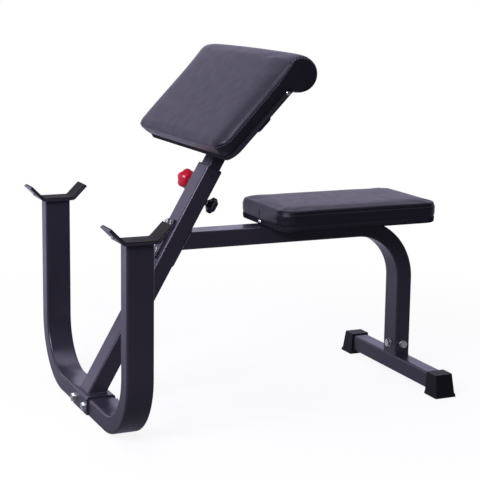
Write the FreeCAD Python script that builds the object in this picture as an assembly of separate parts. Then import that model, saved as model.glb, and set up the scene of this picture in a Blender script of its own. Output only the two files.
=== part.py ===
import FreeCAD
import Part
import math
import os

# Preacher curl bench in millimetres. +X runs from the bar cradles to the seat, +Y to the right
# of a person on the seat, +Z up. The origin is on the floor, under the middle of the bench's box.

V = FreeCAD.Vector
X, Y, Z = V(1, 0, 0), V(0, 1, 0), V(0, 0, 1)

# Shared values
OVERRUN = 10.0              # how far a cutting tool runs past what it cuts
TOUCH = 0.001               # lengths below this are left out of an outline
SOFT_GAP = 0.3              # between a cushion and what it lies on
SLIDE_GAP = 0.3             # each side of the sliding column
TURN_GAP = 0.1              # radial clearance of a pin or screw that moves
HOLE_GAP = 0.25             # radial clearance of a bolt in its hole

# Rectangular tube of the frame
TUBE_WIDE = 60.0
TUBE_DEEP = 40.0
TUBE_WALL = 2.0
TUBE_CORNER = 5.0
TUBE_BEND = 132.0           # radius of a bend's centre line

# U-frame that holds the bar
U_WIDTH = 616.0             # over the outer faces of the uprights
U_HEIGHT = 436.0

# Bar cradles, bent plate with a liner
CRADLE_FLAT = 76.0          # between the bends, along the underside
CRADLE_RISE = 32.0          # height of an arm, and its length seen from above
CRADLE_THICK = 5.0
CRADLE_BEND = 8.0           # inner radius of a bend
CRADLE_WIDE = 56.0
LINER_THICK = 2.5
LINER_MARGIN = 1.0          # plate left bare round the liner
RIVET_SHANK = 6.0
RIVET_HEAD = 11.0
RIVET_HEAD_RISE = 4.0
RIVET_UP_ARM = 20.0         # from the bend, along the arm's underside

# Saddle on the U-frame that carries the front post
SADDLE_WIDE = 100.0
SADDLE_THICK = 4.0
SADDLE_BEND = 4.0
SADDLE_OPEN = 3.0           # floor to the lower edges of the saddle's sides
SADDLE_BOLT_SPACING = 74.0

# Front post and the sliding column in it
POST_ANGLE = 60.3           # from the floor
POST_LENGTH = 568.0         # along the middle, from the saddle to the mouth
POST_AHEAD = 2.3            # foot of the post ahead of the U-frame's middle
COLUMN_WIDE = 50.0
COLUMN_DEEP = 30.0
COLUMN_WALL = 2.0
COLUMN_CORNER = 4.0
COLUMN_INSERT = 128.0       # column inside the post at rest
COLUMN_ABOVE = 180.0        # column above the mouth at rest
HOLE_PITCH = 20.0           # between the height settings
HOLES_BELOW = 2             # settings above the rest height use holes below the pin
HOLES_ABOVE = 1

# Guide bush in the post's mouth
BUSH_FLANGE = 3.0
BUSH_FLANGE_INSET = 0.6
BUSH_SLEEVE = 34.0
BUTTON_DOWN = 17.0          # snap button below the mouth
BUTTON_DIAMETER = 8.0
BUTTON_PROUD = 0.8

# Plugs in the column's ends
PLUG_LENGTH = 15.0
PLUG_WALL = 3.0
PLUG_FLANGE = 3.0

# Pull pin on the right of the post
PIN_DOWN = 42.0             # below the mouth
PIN_DIAMETER = 8.0
PIN_STROKE = 8.0
PIN_TIP_GAP = 0.4           # tip of the drawn pin to the column
PIN_COLLAR = 12.0
PIN_COLLAR_THICK = 3.0
PIN_COLLAR_BACK = 13.6      # tip to the collar
PIN_CHAMFER = 1.2
BARREL_DIAMETER = 20.0
BARREL_LENGTH = 26.0
BARREL_BORE = 14.0
BARREL_CAP = 4.0
BARREL_CHAMFER = 1.5
SPRING_WIRE = 1.4
SPRING_DIAMETER = 12.6      # over the wire
SPRING_TURNS = 4
SPRING_WIRE_SIDES = 6
KNOB_GAP = 2.0              # knob to barrel with the pin home
KNOB_DIAMETER = 50.0
KNOB_LENGTH = 30.0
KNOB_FLUTES = 6
KNOB_FLUTE_RADIUS = 16.0
KNOB_DEPTH_SHARE = 0.92     # radius left at the bottom of a flute
KNOB_SOCKET = 22.0          # pin inside the knob
# Height of each knob section as a share of the length, and its width as a share of the diameter
KNOB_SECTION_SHARES = ((0.0, 0.62), (0.16, 0.80), (0.55, 1.0), (0.86, 0.97), (1.0, 0.80))

# Clamp screw on the back of the post
CLAMP_DOWN = 73.0           # below the mouth
CLAMP_SCREW = 10.0
CLAMP_TIP_GAP = 0.3
CLAMP_NUT_ACROSS = 19.0
CLAMP_NUT_HEIGHT = 9.0
CLAMP_STEM = 6.0            # bare screw between nut and knob
CLAMP_BOSS = 18.0
CLAMP_BOSS_LENGTH = 7.0
CLAMP_KNOB = 38.0
CLAMP_KNOB_THICK = 13.0
CLAMP_FLUTES = 6
CLAMP_FLUTE_RADIUS = 8.0
CLAMP_DEPTH_SHARE = 0.88
CLAMP_SOCKET = 14.0         # screw inside the knob
CLAMP_PAD = 8.0             # tip that presses on the column without turning
CLAMP_PAD_THICK = 2.5
CLAMP_PAD_STEM = 4.0
CLAMP_PAD_STEM_LENGTH = 5.0
CLAMP_SECTION_SHARES = ((0.0, 0.90), (0.14, 0.985), (0.48, 1.0), (0.82, 0.985), (1.0, 0.86))

# Seat beam and rear leg, one bent tube, and the plates that clamp it to the post
BEAM_BOTTOM = 356.6
LEG_SPACING = 788.5         # middle of the U-frame to the middle of the leg
FLANGE_WIDE = 40.0
FLANGE_THICK = 5.0
FLANGE_ABOVE = 31.0         # from the beam's middle, along the post
FLANGE_BELOW = 66.0
BACKING_WIDE = 32.0
BACKING_THICK = 5.0
BACKING_ABOVE = 32.0
BACKING_BELOW = 66.0
BACKING_CORNER = 6.0
STUD_UP = 18.0              # studs from the beam's middle, along the post
STUD_DOWN = 52.0
WELD_GAP = 0.3              # between the beam's end and the flange inside it

# Rear crossbar, its stub and foot caps
BAR_SIZE = 40.0
BAR_LENGTH = 435.0
BAR_BOTTOM = 9.9
STUB_HEIGHT = 65.0
STUB_GAP = 0.5
STUB_WALL = 2.5
LEG_BOLT_FRONT_UP = 27.0    # above the crossbar
LEG_BOLT_SIDE_UP = 29.0
LEG_BOLT_LENGTH = 18.0
CAP_WALL = 3.0
CAP_LENGTH = 39.5           # along the top
CAP_SPLAY = 3.0             # cap wider at the lip than at the top, on each side
CAP_END_SPLAY = 9.0
CAP_LIP = 2.0
CAP_END_LIP = 3.5
CAP_LIP_HEIGHT = 7.0

# Bolts: the main size, the smaller one, and their usual proportions
BOLT = 10.0
SMALL_BOLT = 8.0
HEAD_ACROSS_SHARE = 1.7
HEAD_HEIGHT_SHARE = 0.64
NUT_HEIGHT_SHARE = 0.8
WASHER_SHARE = 2.0
WASHER_THICK_SHARE = 0.2
BOLT_END_SHARE = 0.3        # thread past the nut
HEAD_BEVEL = 30.0           # degrees

# Wood screws under the boards
SCREW_SHANK = 6.0
SCREW_HEAD = 13.0
SCREW_HEAD_RISE = 4.0
SCREW_BITE = 9.0            # thread in the board
COVER_SCREW_SHANK = 4.0
COVER_SCREW_HEAD = 12.0
COVER_SCREW_RISE = 5.0
COVER_SCREW_BITE = 14.0

# Seat
SEAT_LENGTH = 420.0
SEAT_WIDTH = 252.0
SEAT_REAR = 36.0            # seat behind the middle of the leg
SEAT_CORNER = 38.0
SEAT_BOARD = 12.0
SEAT_BOARD_INSET = 4.0
SEAT_CUSHION = 39.0         # thickness at the crown
SEAT_DRAW = 3.0             # sides drawn in between the corners
SEAT_PLATE_THICK = 3.0
SEAT_PLATE_LONG = 176.0
SEAT_PLATE_WIDE = 40.0
SEAT_PLATE_CORNER = 6.0
SEAT_SCREW_SPACING = 146.0
# Height of each cushion section as a share of the thickness, and its inset as a share of the corner
SEAT_SECTION_SHARES = ((0.0, 0.09), (0.30, 0.0), (0.70, 0.02), (0.87, 0.22), (0.965, 0.85), (1.0, 1.75))
SEAT_PLATE_SHARES = (0.20, 0.58)   # places along the seat from its front
COVER_SCREW_UP_SHARE = 0.5         # up the board's edge

# Arm pad, on its own slope. Along it, sizes run from its lower edge, and across it from the
# underside of its board.
PAD_ANGLE = 45.8            # from the floor
PAD_AHEAD = 71.4            # lower edge ahead of the post's middle line
PAD_RISE = 12.5             # lower edge above the mouth, along the post
PAD_WIDTH = 500.0
PAD_BOARD = 12.0
PAD_BOARD_START = 4.0
PAD_BOARD_INSET = 6.0
PAD_BOARD_CORNER = 4.0      # upper corners
PAD_CORNER = 38.0           # lower corners of the cushion, seen from above
PAD_FRONT = 50.0            # top of the pad at its lower end
PAD_FRONT_CORNER = 18.0
PAD_FRONT_LEAN = 3.0        # upright front drawn in towards the board
PAD_CROWN = 4.0             # rise of the top between its lower end and the roll
PAD_CROWN_END_SHARE = 0.2   # of the crown, left at the two ends
ROLL_ALONG = 243.0          # middle of the rolled end
ROLL_UP = 13.0
ROLL_RADIUS = 42.0
PAD_END_INSET = 4.0         # pad drawn in at its two ends
PAD_END_ROUND = 9.0         # over this length
PAD_STATION_SHARES = (0.0, 0.008, 0.024, 0.064, 0.152, 0.32, 0.64, 1.0)   # from an end to the middle
PAD_COVER_SCREW_BACK = 7.0  # from the board's upper edge

# Cross bar and bracket under the arm pad
CROSS_BAR_ALONG = 110.0
CROSS_BAR_WIDE = 40.0
CROSS_BAR_THICK = 5.0
CROSS_BAR_LONG = 486.0
CROSS_BAR_CORNER = 8.0
CROSS_SCREW_INNER = 60.0    # screws to the pad's middle
CROSS_SCREW_OUTER = 200.0
WEB_SCREW = 14.0
BRACKET_THICK = 4.0
BRACKET_FOOT = 72.0         # bracket above the mouth at rest
BRACKET_TOP_GAP = 2.0       # bracket past the column's upper end
BRACKET_EDGE = 7.0          # cheek past the column's middle line, towards the back
BRACKET_CORNER = 8.0
BRACKET_BOLT_MARGIN = 23.0  # bolts from the ends of the cheeks

# Derived places
U_MIDDLE = (U_WIDTH - TUBE_DEEP) / 2
CRADLE_TIP = CRADLE_FLAT / 2 + CRADLE_RISE
U_X = (CRADLE_TIP - LEG_SPACING - SEAT_REAR) / 2
LEG_X = U_X + LEG_SPACING
U_SIDE = TUBE_WIDE / 2
SADDLE_TOP = TUBE_DEEP + SADDLE_THICK
BEAM_MIDDLE = BEAM_BOTTOM + TUBE_DEEP / 2
BEAM_TOP = BEAM_BOTTOM + TUBE_DEEP
BAR_TOP = BAR_BOTTOM + BAR_SIZE
POST_BACK = TUBE_DEEP / 2
POST_SIDE = TUBE_WIDE / 2
COLUMN_BACK = COLUMN_DEEP / 2
COLUMN_SIDE = COLUMN_WIDE / 2
BORE_WIDE = TUBE_WIDE - 2 * TUBE_WALL
BORE_DEEP = TUBE_DEEP - 2 * TUBE_WALL
BORE_CORNER = TUBE_CORNER - TUBE_WALL
POST = FreeCAD.Placement(V(U_X - POST_AHEAD, 0, SADDLE_TOP), FreeCAD.Rotation(Y, 90 - POST_ANGLE))
PAD_ORIGIN = POST.multVec(V(-PAD_AHEAD, 0, POST_LENGTH + PAD_RISE))
PAD = FreeCAD.Placement(PAD_ORIGIN, FreeCAD.Rotation(Y, -PAD_ANGLE))
COLUMN_TOP = POST_LENGTH + COLUMN_ABOVE
COLUMN_BOTTOM = POST_LENGTH - COLUMN_INSERT
PIN_S = POST_LENGTH - PIN_DOWN
CLAMP_S = POST_LENGTH - CLAMP_DOWN
SEAT_BACK_X = LEG_X + SEAT_REAR
SEAT_FRONT_X = SEAT_BACK_X - SEAT_LENGTH
SEAT_MIDDLE_X = SEAT_BACK_X - SEAT_LENGTH / 2
SEAT_BOARD_Z = BEAM_TOP + SEAT_PLATE_THICK
SEAT_CUSHION_Z = SEAT_BOARD_Z + SEAT_BOARD + SOFT_GAP
PAD_SIDE = PAD_WIDTH / 2
PAD_CUSHION_UP = PAD_BOARD + SOFT_GAP
PAD_BOARD_END = ROLL_ALONG - ROLL_RADIUS - 2 * SOFT_GAP
WEB_UP = -CROSS_BAR_THICK - BRACKET_THICK


def sin_of(degrees):
    return math.sin(math.radians(degrees))


def cos_of(degrees):
    return math.cos(math.radians(degrees))


# Outlines and basic solids

def placed(shape, placement):
    moved = shape.copy()
    moved.Placement = placement.multiply(moved.Placement)
    return moved


def pointed(shape, place, direction):
    """A shape modelled along +Z, moved to a place with its Z axis along the direction."""
    return placed(shape, FreeCAD.Placement(place, FreeCAD.Rotation(Z, direction)))


def corner_arc(before, corner, after, radius):
    """Start, middle and end of the arc that rounds a corner."""
    back = (before - corner).normalize()
    on = (after - corner).normalize()
    half = back.getAngle(on) / 2
    inward = (back + on).normalize()
    centre = corner + inward * (radius / math.sin(half))
    reach = radius / math.tan(half)
    return corner + back * reach, centre - inward * radius, corner + on * reach


def outline(points, radii):
    """Closed wire through the points, with each corner rounded by its own radius."""
    count = len(points)
    corners = []
    for i, point in enumerate(points):
        arc = None
        if radii[i] > 0:
            arc = corner_arc(points[i - 1], point, points[(i + 1) % count], radii[i])
        corners.append(arc)
    edges = []
    for i, point in enumerate(points):
        following = (i + 1) % count
        leave = corners[i][2] if corners[i] else point
        arrive = corners[following][0] if corners[following] else points[following]
        if corners[i]:
            edges.append(Part.Arc(*corners[i]).toShape())
        if (arrive - leave).Length > TOUCH:
            edges.append(Part.makeLine(leave, arrive))
    return Part.Wire(edges)


def plate(points, radii, thickness):
    return Part.Face(outline(points, radii)).extrude(thickness)


def rectangle(centre, across, up, wide, high):
    corners = ((-1, -1), (1, -1), (1, 1), (-1, 1))
    return [centre + across * (a * wide / 2) + up * (b * high / 2) for a, b in corners]


def rounded_bar(centre, across, up, wide, high, corner, run):
    return plate(rectangle(centre, across, up, wide, high), [corner] * 4, run)


def tube_face(centre, across, up, wide, high, corner, wall):
    outer = outline(rectangle(centre, across, up, wide, high), [corner] * 4)
    inner = outline(rectangle(centre, across, up, wide - 2 * wall, high - 2 * wall), [corner - wall] * 4)
    return Part.makeFace([outer, inner], "Part::FaceMakerBullseye")


def rod(start, direction, radius, length):
    return Part.makeCylinder(radius, length, start, direction)


def hole(start, direction, radius, length):
    """Cutting rod that overruns both ends of its length."""
    return rod(start - direction * OVERRUN, direction, radius, length + 2 * OVERRUN)


def offset_path(points, distance):
    """Path beside an open path of straight runs in the XZ plane, on its left."""
    normals = []
    for a, b in zip(points, points[1:]):
        run = (b - a).normalize()
        normals.append(V(-run.z, 0, run.x))
    moved = [points[0] + normals[0] * distance]
    for point, n, m in zip(points[1:], normals, normals[1:]):
        moved.append(point + (n + m) * (distance / (1 + n.dot(m))))
    moved.append(points[-1] + normals[-1] * distance)
    return moved


def bent_strip(path, thickness, bend, wide):
    """Strip folded along a path in XZ, thick on the path's left, centred on Y = 0. The path's
    bends all turn towards its left and have the given radius on that side."""
    inner = offset_path(path, thickness)
    count = len(path) - 2
    radii = [0] + [bend + thickness] * count + [0, 0] + [bend] * count + [0]
    strip = plate(path + inner[::-1], radii, Y * wide)
    return strip.translated(Y * (-wide / 2))


def fluted_knob(diameter, depth_share, flutes, flute_radius, sections):
    """Knob turned to a smooth profile, each section a height and a share of the diameter, with
    round flutes cut along it."""
    profile = [V(diameter * share / 2, 0, height) for height, share in sections]
    bottom, top = V(0, 0, profile[0].z), V(0, 0, profile[-1].z)
    curve = Part.BSplineCurve()
    curve.interpolate(profile)
    lines = [Part.makeLine(bottom, profile[0]), curve.toShape(), Part.makeLine(profile[-1], top)]
    turned = Part.Face(Part.Wire(lines + [Part.makeLine(top, bottom)])).revolve(V(0, 0, 0), Z, 360)
    distance = diameter * depth_share / 2 + flute_radius
    tools = []
    for i in range(flutes):
        angle = 360 * i / flutes
        start = V(distance * cos_of(angle), distance * sin_of(angle), bottom.z)
        tools.append(hole(start, Z, flute_radius, top.z - bottom.z))
    return turned.cut(tools)


# Fasteners, all modelled along +Z from the face that they clamp

def hex_prism(across, height):
    corner = across / math.sqrt(3)
    points = [V(corner * cos_of(60 * i), corner * sin_of(60 * i), 0) for i in range(6)]
    return plate(points, [0] * 6, Z * height)


def bevelled_hex(across, height):
    """Hexagon whose corners are bevelled at its top."""
    flare = height / math.tan(math.radians(HEAD_BEVEL))
    return hex_prism(across, height).common(Part.makeCone(across / 2 + flare, across / 2, height))


def washer_thickness(size):
    return size * WASHER_THICK_SHARE


def nut_height(size):
    return size * NUT_HEIGHT_SHARE


def bolt_shape(size, length):
    """Bolt whose head rests on Z = 0 and whose shank runs down from there."""
    head = bevelled_hex(size * HEAD_ACROSS_SHARE, size * HEAD_HEIGHT_SHARE)
    return head.fuse(rod(V(0, 0, 0), -Z, size / 2, length))


def nut_shape(size):
    height = nut_height(size)
    blank = bevelled_hex(size * HEAD_ACROSS_SHARE, height)
    return blank.cut(hole(V(0, 0, 0), Z, size / 2 + TURN_GAP, height))


def washer_shape(size):
    thick = washer_thickness(size)
    disc = rod(V(0, 0, 0), Z, size * WASHER_SHARE / 2, thick)
    return disc.cut(hole(V(0, 0, 0), Z, size / 2 + HOLE_GAP, thick))


def through_bolt(place, direction, size, grip):
    """Bolt, nut and two washers. The head is at the place, and the shank runs along the direction."""
    thick = washer_thickness(size)
    length = grip + 2 * thick + nut_height(size) + size * BOLT_END_SHARE
    back = place + direction * grip
    bolt = pointed(bolt_shape(size, length), place - direction * thick, -direction)
    nut = pointed(nut_shape(size), back + direction * thick, direction)
    washers = [pointed(washer_shape(size), place, -direction), pointed(washer_shape(size), back, direction)]
    return bolt, nut, washers


def dome_screw(head, rise, shank, length):
    """Round-headed screw whose head rests on Z = 0 and whose shank runs down from there."""
    ball = (head * head / 4 + rise * rise) / (2 * rise)
    dome = Part.makeSphere(ball, V(0, 0, rise - ball)).common(rod(V(0, 0, 0), Z, head / 2, rise))
    return dome.fuse(rod(V(0, 0, 0), -Z, shank / 2, length))


# U-frame, cradles and saddle

def bent_tube(face, runs):
    """Tube made of straight runs, each a vector, and bends, each a centre, an axis and an angle."""
    pieces = []
    for run in runs:
        if isinstance(run, tuple):
            pieces.append(face.revolve(*run))
            face = face.rotated(*run)
        else:
            pieces.append(face.extrude(run))
            face = face.translated(run)
    return pieces[0].fuse(pieces[1:]).removeSplitter()


def saddle_bolt_places():
    front = U_X - U_SIDE - SADDLE_THICK
    return [V(front, side * SADDLE_BOLT_SPACING / 2, TUBE_DEEP / 2) for side in (-1, 1)]


def saddle_grip():
    return TUBE_WIDE + 2 * SADDLE_THICK


def u_frame():
    bottom = TUBE_DEEP / 2
    bend_up = bottom + TUBE_BEND
    bend_in = U_MIDDLE - TUBE_BEND
    face = tube_face(V(U_X, -U_MIDDLE, U_HEIGHT), X, Y, TUBE_WIDE, TUBE_DEEP, TUBE_CORNER, TUBE_WALL)
    tube = bent_tube(face, [
        -Z * (U_HEIGHT - bend_up),
        (V(U_X, -bend_in, bend_up), X, 90),
        Y * (2 * bend_in),
        (V(U_X, bend_in, bend_up), X, 90),
        Z * (U_HEIGHT - bend_up),
    ])
    return tube.cut([hole(p, X, BOLT / 2 + HOLE_GAP, saddle_grip()) for p in saddle_bolt_places()])


def cradle_path():
    flat, tip = CRADLE_FLAT / 2, CRADLE_TIP
    return [V(-tip, 0, CRADLE_RISE), V(-flat, 0, 0), V(flat, 0, 0), V(tip, 0, CRADLE_RISE)]


def rivet_places():
    """Place on an arm's underside and the direction through the arm, for both arms."""
    path = cradle_path()
    places = []
    for bend, tip in ((path[1], path[0]), (path[2], path[3])):
        along = (tip - bend).normalize()
        inward = V(-along.z, 0, along.x) if along.x > 0 else V(along.z, 0, -along.x)
        places.append((bend + along * RIVET_UP_ARM, inward))
    return places


def bar_cradle():
    plate_strip = bent_strip(cradle_path(), CRADLE_THICK, CRADLE_BEND, CRADLE_WIDE)
    return plate_strip.cut([hole(p, d, RIVET_SHANK / 2 + TURN_GAP, CRADLE_THICK) for p, d in rivet_places()])


def cradle_liner():
    path = offset_path(cradle_path(), CRADLE_THICK)
    for end, bend in ((0, 1), (-1, -2)):
        path[end] = path[end] + (path[bend] - path[end]).normalize() * LINER_MARGIN
    return bent_strip(path, LINER_THICK, CRADLE_BEND - LINER_THICK, CRADLE_WIDE - 2 * LINER_MARGIN)


def cradle_rivet(place, direction):
    rivet = dome_screw(RIVET_HEAD, RIVET_HEAD_RISE, RIVET_SHANK, CRADLE_THICK)
    return pointed(rivet, place, -direction)


def cradle_seat(side):
    return V(U_X, side * U_MIDDLE, U_HEIGHT)


def base_saddle():
    half = U_SIDE
    path = [V(half, 0, SADDLE_OPEN), V(half, 0, TUBE_DEEP), V(-half, 0, TUBE_DEEP), V(-half, 0, SADDLE_OPEN)]
    outer = offset_path(path, -SADDLE_THICK)
    folded = bent_strip(outer, SADDLE_THICK, SADDLE_BEND, SADDLE_WIDE).translated(X * U_X)
    return folded.cut([hole(p, X, BOLT / 2 + HOLE_GAP, saddle_grip()) for p in saddle_bolt_places()])


# Front post, beam joint and bush. Along the post, s runs from the saddle to the mouth.

def beam_joint_s():
    """Where the beam's middle line meets the back of the post."""
    return (BEAM_MIDDLE - SADDLE_TOP + POST_BACK * cos_of(POST_ANGLE)) / sin_of(POST_ANGLE)


def stud_places():
    """Where the studs leave the backing plate in front of the post."""
    joint = beam_joint_s()
    return [V(-POST_BACK - BACKING_THICK, 0, joint + up) for up in (STUD_UP, -STUD_DOWN)]


def stud_grip():
    return BACKING_THICK + TUBE_DEEP + FLANGE_THICK


def stud_holes():
    return [hole(p, X, BOLT / 2 + HOLE_GAP, stud_grip()) for p in stud_places()]


def beam_studs():
    """Studs welded into the flange, with a nut and a washer each in front of the post."""
    thick = washer_thickness(BOLT)
    length = stud_grip() + thick + nut_height(BOLT) + BOLT * BOLT_END_SHARE
    studs, nuts, washers = [], [], []
    for place in stud_places():
        studs.append(placed(rod(place + X * stud_grip(), -X, BOLT / 2, length), POST))
        washers.append(placed(pointed(washer_shape(BOLT), place, -X), POST))
        nuts.append(placed(pointed(nut_shape(BOLT), place - X * thick, -X), POST))
    return studs, nuts, washers


def above(height):
    """Block that holds everything above a height."""
    size = 4 * POST_LENGTH
    return Part.makeBox(size, size, size, V(-size / 2, -size / 2, height))


def button_hole(side):
    start = V(0, side * (POST_SIDE - TUBE_WALL), POST_LENGTH - BUTTON_DOWN)
    return hole(start, Y, BUTTON_DIAMETER / 2 + HOLE_GAP, TUBE_WALL)


def front_post():
    start = V(0, 0, -TUBE_WIDE)
    face = tube_face(start, X, Y, TUBE_DEEP, TUBE_WIDE, TUBE_CORNER, TUBE_WALL)
    tube = face.extrude(Z * (POST_LENGTH + TUBE_WIDE))
    pin_hole = hole(V(0, POST_SIDE - TUBE_WALL, PIN_S), Y, PIN_DIAMETER / 2 + HOLE_GAP, TUBE_WALL)
    clamp_hole = hole(V(POST_BACK - TUBE_WALL, 0, CLAMP_S), X, CLAMP_SCREW / 2 + HOLE_GAP, TUBE_WALL)
    tube = tube.cut(stud_holes() + [button_hole(-1), button_hole(1), pin_hole, clamp_hole])
    return placed(tube, POST).common(above(SADDLE_TOP))


def beam_flange(gap):
    """Flange in the beam's end, or the room cut for it when a gap is given."""
    middle = V(POST_BACK, 0, beam_joint_s() + (FLANGE_ABOVE - FLANGE_BELOW) / 2)
    wide = FLANGE_WIDE + 2 * gap
    long = FLANGE_ABOVE + FLANGE_BELOW + 2 * gap
    return rounded_bar(middle, Y, Z, wide, long, BACKING_CORNER, X * (FLANGE_THICK + gap))


def beam_backing_plate():
    middle = V(-POST_BACK, 0, beam_joint_s() + (BACKING_ABOVE - BACKING_BELOW) / 2)
    long = BACKING_ABOVE + BACKING_BELOW
    return rounded_bar(middle, Y, Z, BACKING_WIDE, long, BACKING_CORNER, -X * BACKING_THICK)


def post_bush():
    mouth = V(0, 0, POST_LENGTH)
    flange_wide = TUBE_WIDE - 2 * BUSH_FLANGE_INSET
    flange_deep = TUBE_DEEP - 2 * BUSH_FLANGE_INSET
    flange = rounded_bar(mouth, X, Y, flange_deep, flange_wide, TUBE_CORNER, Z * BUSH_FLANGE)
    sleeve = rounded_bar(mouth, X, Y, BORE_DEEP, BORE_WIDE, BORE_CORNER, -Z * BUSH_SLEEVE)
    button_length = POST_SIDE + BUTTON_PROUD
    middle = V(0, 0, POST_LENGTH - BUTTON_DOWN)
    buttons = [rod(middle, Y * side, BUTTON_DIAMETER / 2, button_length) for side in (-1, 1)]
    clear_deep = COLUMN_DEEP + 2 * SLIDE_GAP
    clear_wide = COLUMN_WIDE + 2 * SLIDE_GAP
    bottom = V(0, 0, POST_LENGTH - BUSH_SLEEVE - OVERRUN)
    run = Z * (BUSH_SLEEVE + BUSH_FLANGE + 2 * OVERRUN)
    passage = rounded_bar(bottom, X, Y, clear_deep, clear_wide, COLUMN_CORNER, run)
    return placed(flange.fuse([sleeve] + buttons).cut(passage), POST)


# Sliding column

def inner_post():
    bottom = V(0, 0, COLUMN_BOTTOM)
    face = tube_face(bottom, X, Y, COLUMN_DEEP, COLUMN_WIDE, COLUMN_CORNER, COLUMN_WALL)
    tube = face.extrude(Z * (COLUMN_TOP - COLUMN_BOTTOM))
    setting_radius = PIN_DIAMETER / 2 + HOLE_GAP
    settings = [PIN_S + HOLE_PITCH * i for i in range(-HOLES_BELOW, HOLES_ABOVE + 1)]
    wall = V(0, COLUMN_SIDE - COLUMN_WALL, 0)
    holes = [hole(wall + Z * s, Y, setting_radius, COLUMN_WALL) for s in settings]
    holes += [hole(p, Y, SMALL_BOLT / 2 + HOLE_GAP, bracket_grip()) for p in bracket_bolt_places()]
    return placed(tube.cut(holes), POST)


def column_plug(end, outward, flange_thick):
    """Plug in one end of the column, with a flange over the wall if it has a thickness."""
    inner_deep = COLUMN_DEEP - 2 * COLUMN_WALL
    inner_wide = COLUMN_WIDE - 2 * COLUMN_WALL
    corner = COLUMN_CORNER - COLUMN_WALL
    core = rounded_bar(end, X, Y, inner_deep, inner_wide, corner, -outward * PLUG_LENGTH)
    pocket_deep = inner_deep - 2 * PLUG_WALL
    pocket_wide = inner_wide - 2 * PLUG_WALL
    pocket_floor = end - outward * PLUG_WALL
    core = core.cut(rounded_bar(pocket_floor, X, Y, pocket_deep, pocket_wide, corner, -outward * PLUG_LENGTH))
    if flange_thick > 0:
        run = outward * flange_thick
        core = core.fuse(rounded_bar(end, X, Y, COLUMN_DEEP, COLUMN_WIDE, COLUMN_CORNER, run))
    return placed(core, POST)


def bracket_grip():
    return COLUMN_WIDE + 2 * BRACKET_THICK


def bracket_bolt_places():
    outside = -bracket_grip() / 2
    low = POST_LENGTH + BRACKET_FOOT + BRACKET_BOLT_MARGIN
    high = COLUMN_TOP - BRACKET_BOLT_MARGIN
    return [V(0, outside, s) for s in (low, high)]


def on_pad(along, up):
    return PAD.multVec(V(along, 0, up))


def on_post(back, s):
    return POST.multVec(V(back, 0, s))


def pad_along_at(s, up):
    """Distance along the pad where its level is a distance s along the post."""
    lean = POST_ANGLE - PAD_ANGLE
    return (s - POST_LENGTH - PAD_RISE - up * sin_of(lean)) / cos_of(lean)


def arm_bracket():
    """Folded channel: a web under the cross bar and two cheeks that hold the column."""
    foot = POST_LENGTH + BRACKET_FOOT
    top = COLUMN_TOP + PLUG_FLANGE + BRACKET_TOP_GAP
    web_top = -CROSS_BAR_THICK
    start, end = pad_along_at(foot, web_top), pad_along_at(top, web_top)
    side = COLUMN_SIDE + BRACKET_THICK
    corners = [on_pad(start, web_top), on_pad(end, web_top)]
    corners += [on_post(BRACKET_EDGE, top), on_post(BRACKET_EDGE, foot)]
    cheek = plate(corners, [0, 0, BRACKET_CORNER, BRACKET_CORNER], Y * BRACKET_THICK)
    cheeks = [cheek.translated(Y * COLUMN_SIDE), cheek.translated(Y * -side)]
    web_points = [on_pad(a, u) for a, u in ((start, web_top), (end, web_top), (end, WEB_UP), (start, WEB_UP))]
    web = plate(web_points, [0] * 4, Y * (2 * side)).translated(Y * -side)
    channel = web.fuse(cheeks).removeSplitter()
    bolt_holes = [hole(p, Y, SMALL_BOLT / 2 + HOLE_GAP, bracket_grip()) for p in bracket_bolt_places()]
    channel = channel.cut([placed(h, POST) for h in bolt_holes])
    return channel.cut([placed(pad_screw_hole(y, WEB_UP), PAD) for y in (-WEB_SCREW, WEB_SCREW)])


def pad_screw_hole(y, head_up):
    length = PAD_CUSHION_UP
    return rod(V(CROSS_BAR_ALONG, y, head_up - OVERRUN), Z, SCREW_SHANK / 2 + TURN_GAP, length + OVERRUN)


def pad_screw_places():
    """Sideways place and head height of each screw under the arm pad."""
    places = [(y, WEB_UP) for y in (-WEB_SCREW, WEB_SCREW)]
    for y in (CROSS_SCREW_INNER, CROSS_SCREW_OUTER):
        places += [(-y, -CROSS_BAR_THICK), (y, -CROSS_BAR_THICK)]
    return places


def screw_bore(place, direction, length):
    """Blind hole for a wood screw, from its head along the direction."""
    return rod(place, direction, SCREW_SHANK / 2 + TURN_GAP, length)


def arm_cross_bar():
    centre = V(CROSS_BAR_ALONG, 0, -CROSS_BAR_THICK)
    corner = CROSS_BAR_CORNER
    bar = rounded_bar(centre, X, Y, CROSS_BAR_WIDE, CROSS_BAR_LONG, corner, Z * CROSS_BAR_THICK)
    radius = SCREW_SHANK / 2 + TURN_GAP
    holes = [hole(centre + Y * y, Z, radius, CROSS_BAR_THICK) for y, up in pad_screw_places()]
    return placed(bar.cut(holes), PAD)


def arm_screws():
    screws = []
    for y, up in pad_screw_places():
        screw = dome_screw(SCREW_HEAD, SCREW_HEAD_RISE, SCREW_SHANK, SCREW_BITE - up)
        screws.append(placed(pointed(screw, V(CROSS_BAR_ALONG, y, up), -Z), PAD))
    return screws


# Arm pad

def arm_board():
    length = PAD_BOARD_END - PAD_BOARD_START
    centre = V(PAD_BOARD_START + length / 2, 0, 0)
    lower, upper = PAD_CORNER - PAD_BOARD_INSET, PAD_BOARD_CORNER
    corners = rectangle(centre, X, Y, length, PAD_WIDTH - 2 * PAD_BOARD_INSET)
    board = plate(corners, [lower, upper, upper, lower], Z * PAD_BOARD)
    bores = [screw_bore(V(CROSS_BAR_ALONG, y, 0), Z, SCREW_BITE + TURN_GAP) for y, up in pad_screw_places()]
    for place, direction in pad_cover_screw_places():
        bores.append(rod(place, direction, COVER_SCREW_SHANK / 2 + TURN_GAP, COVER_SCREW_BITE + TURN_GAP))
    return placed(board.cut(bores), PAD)


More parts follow.
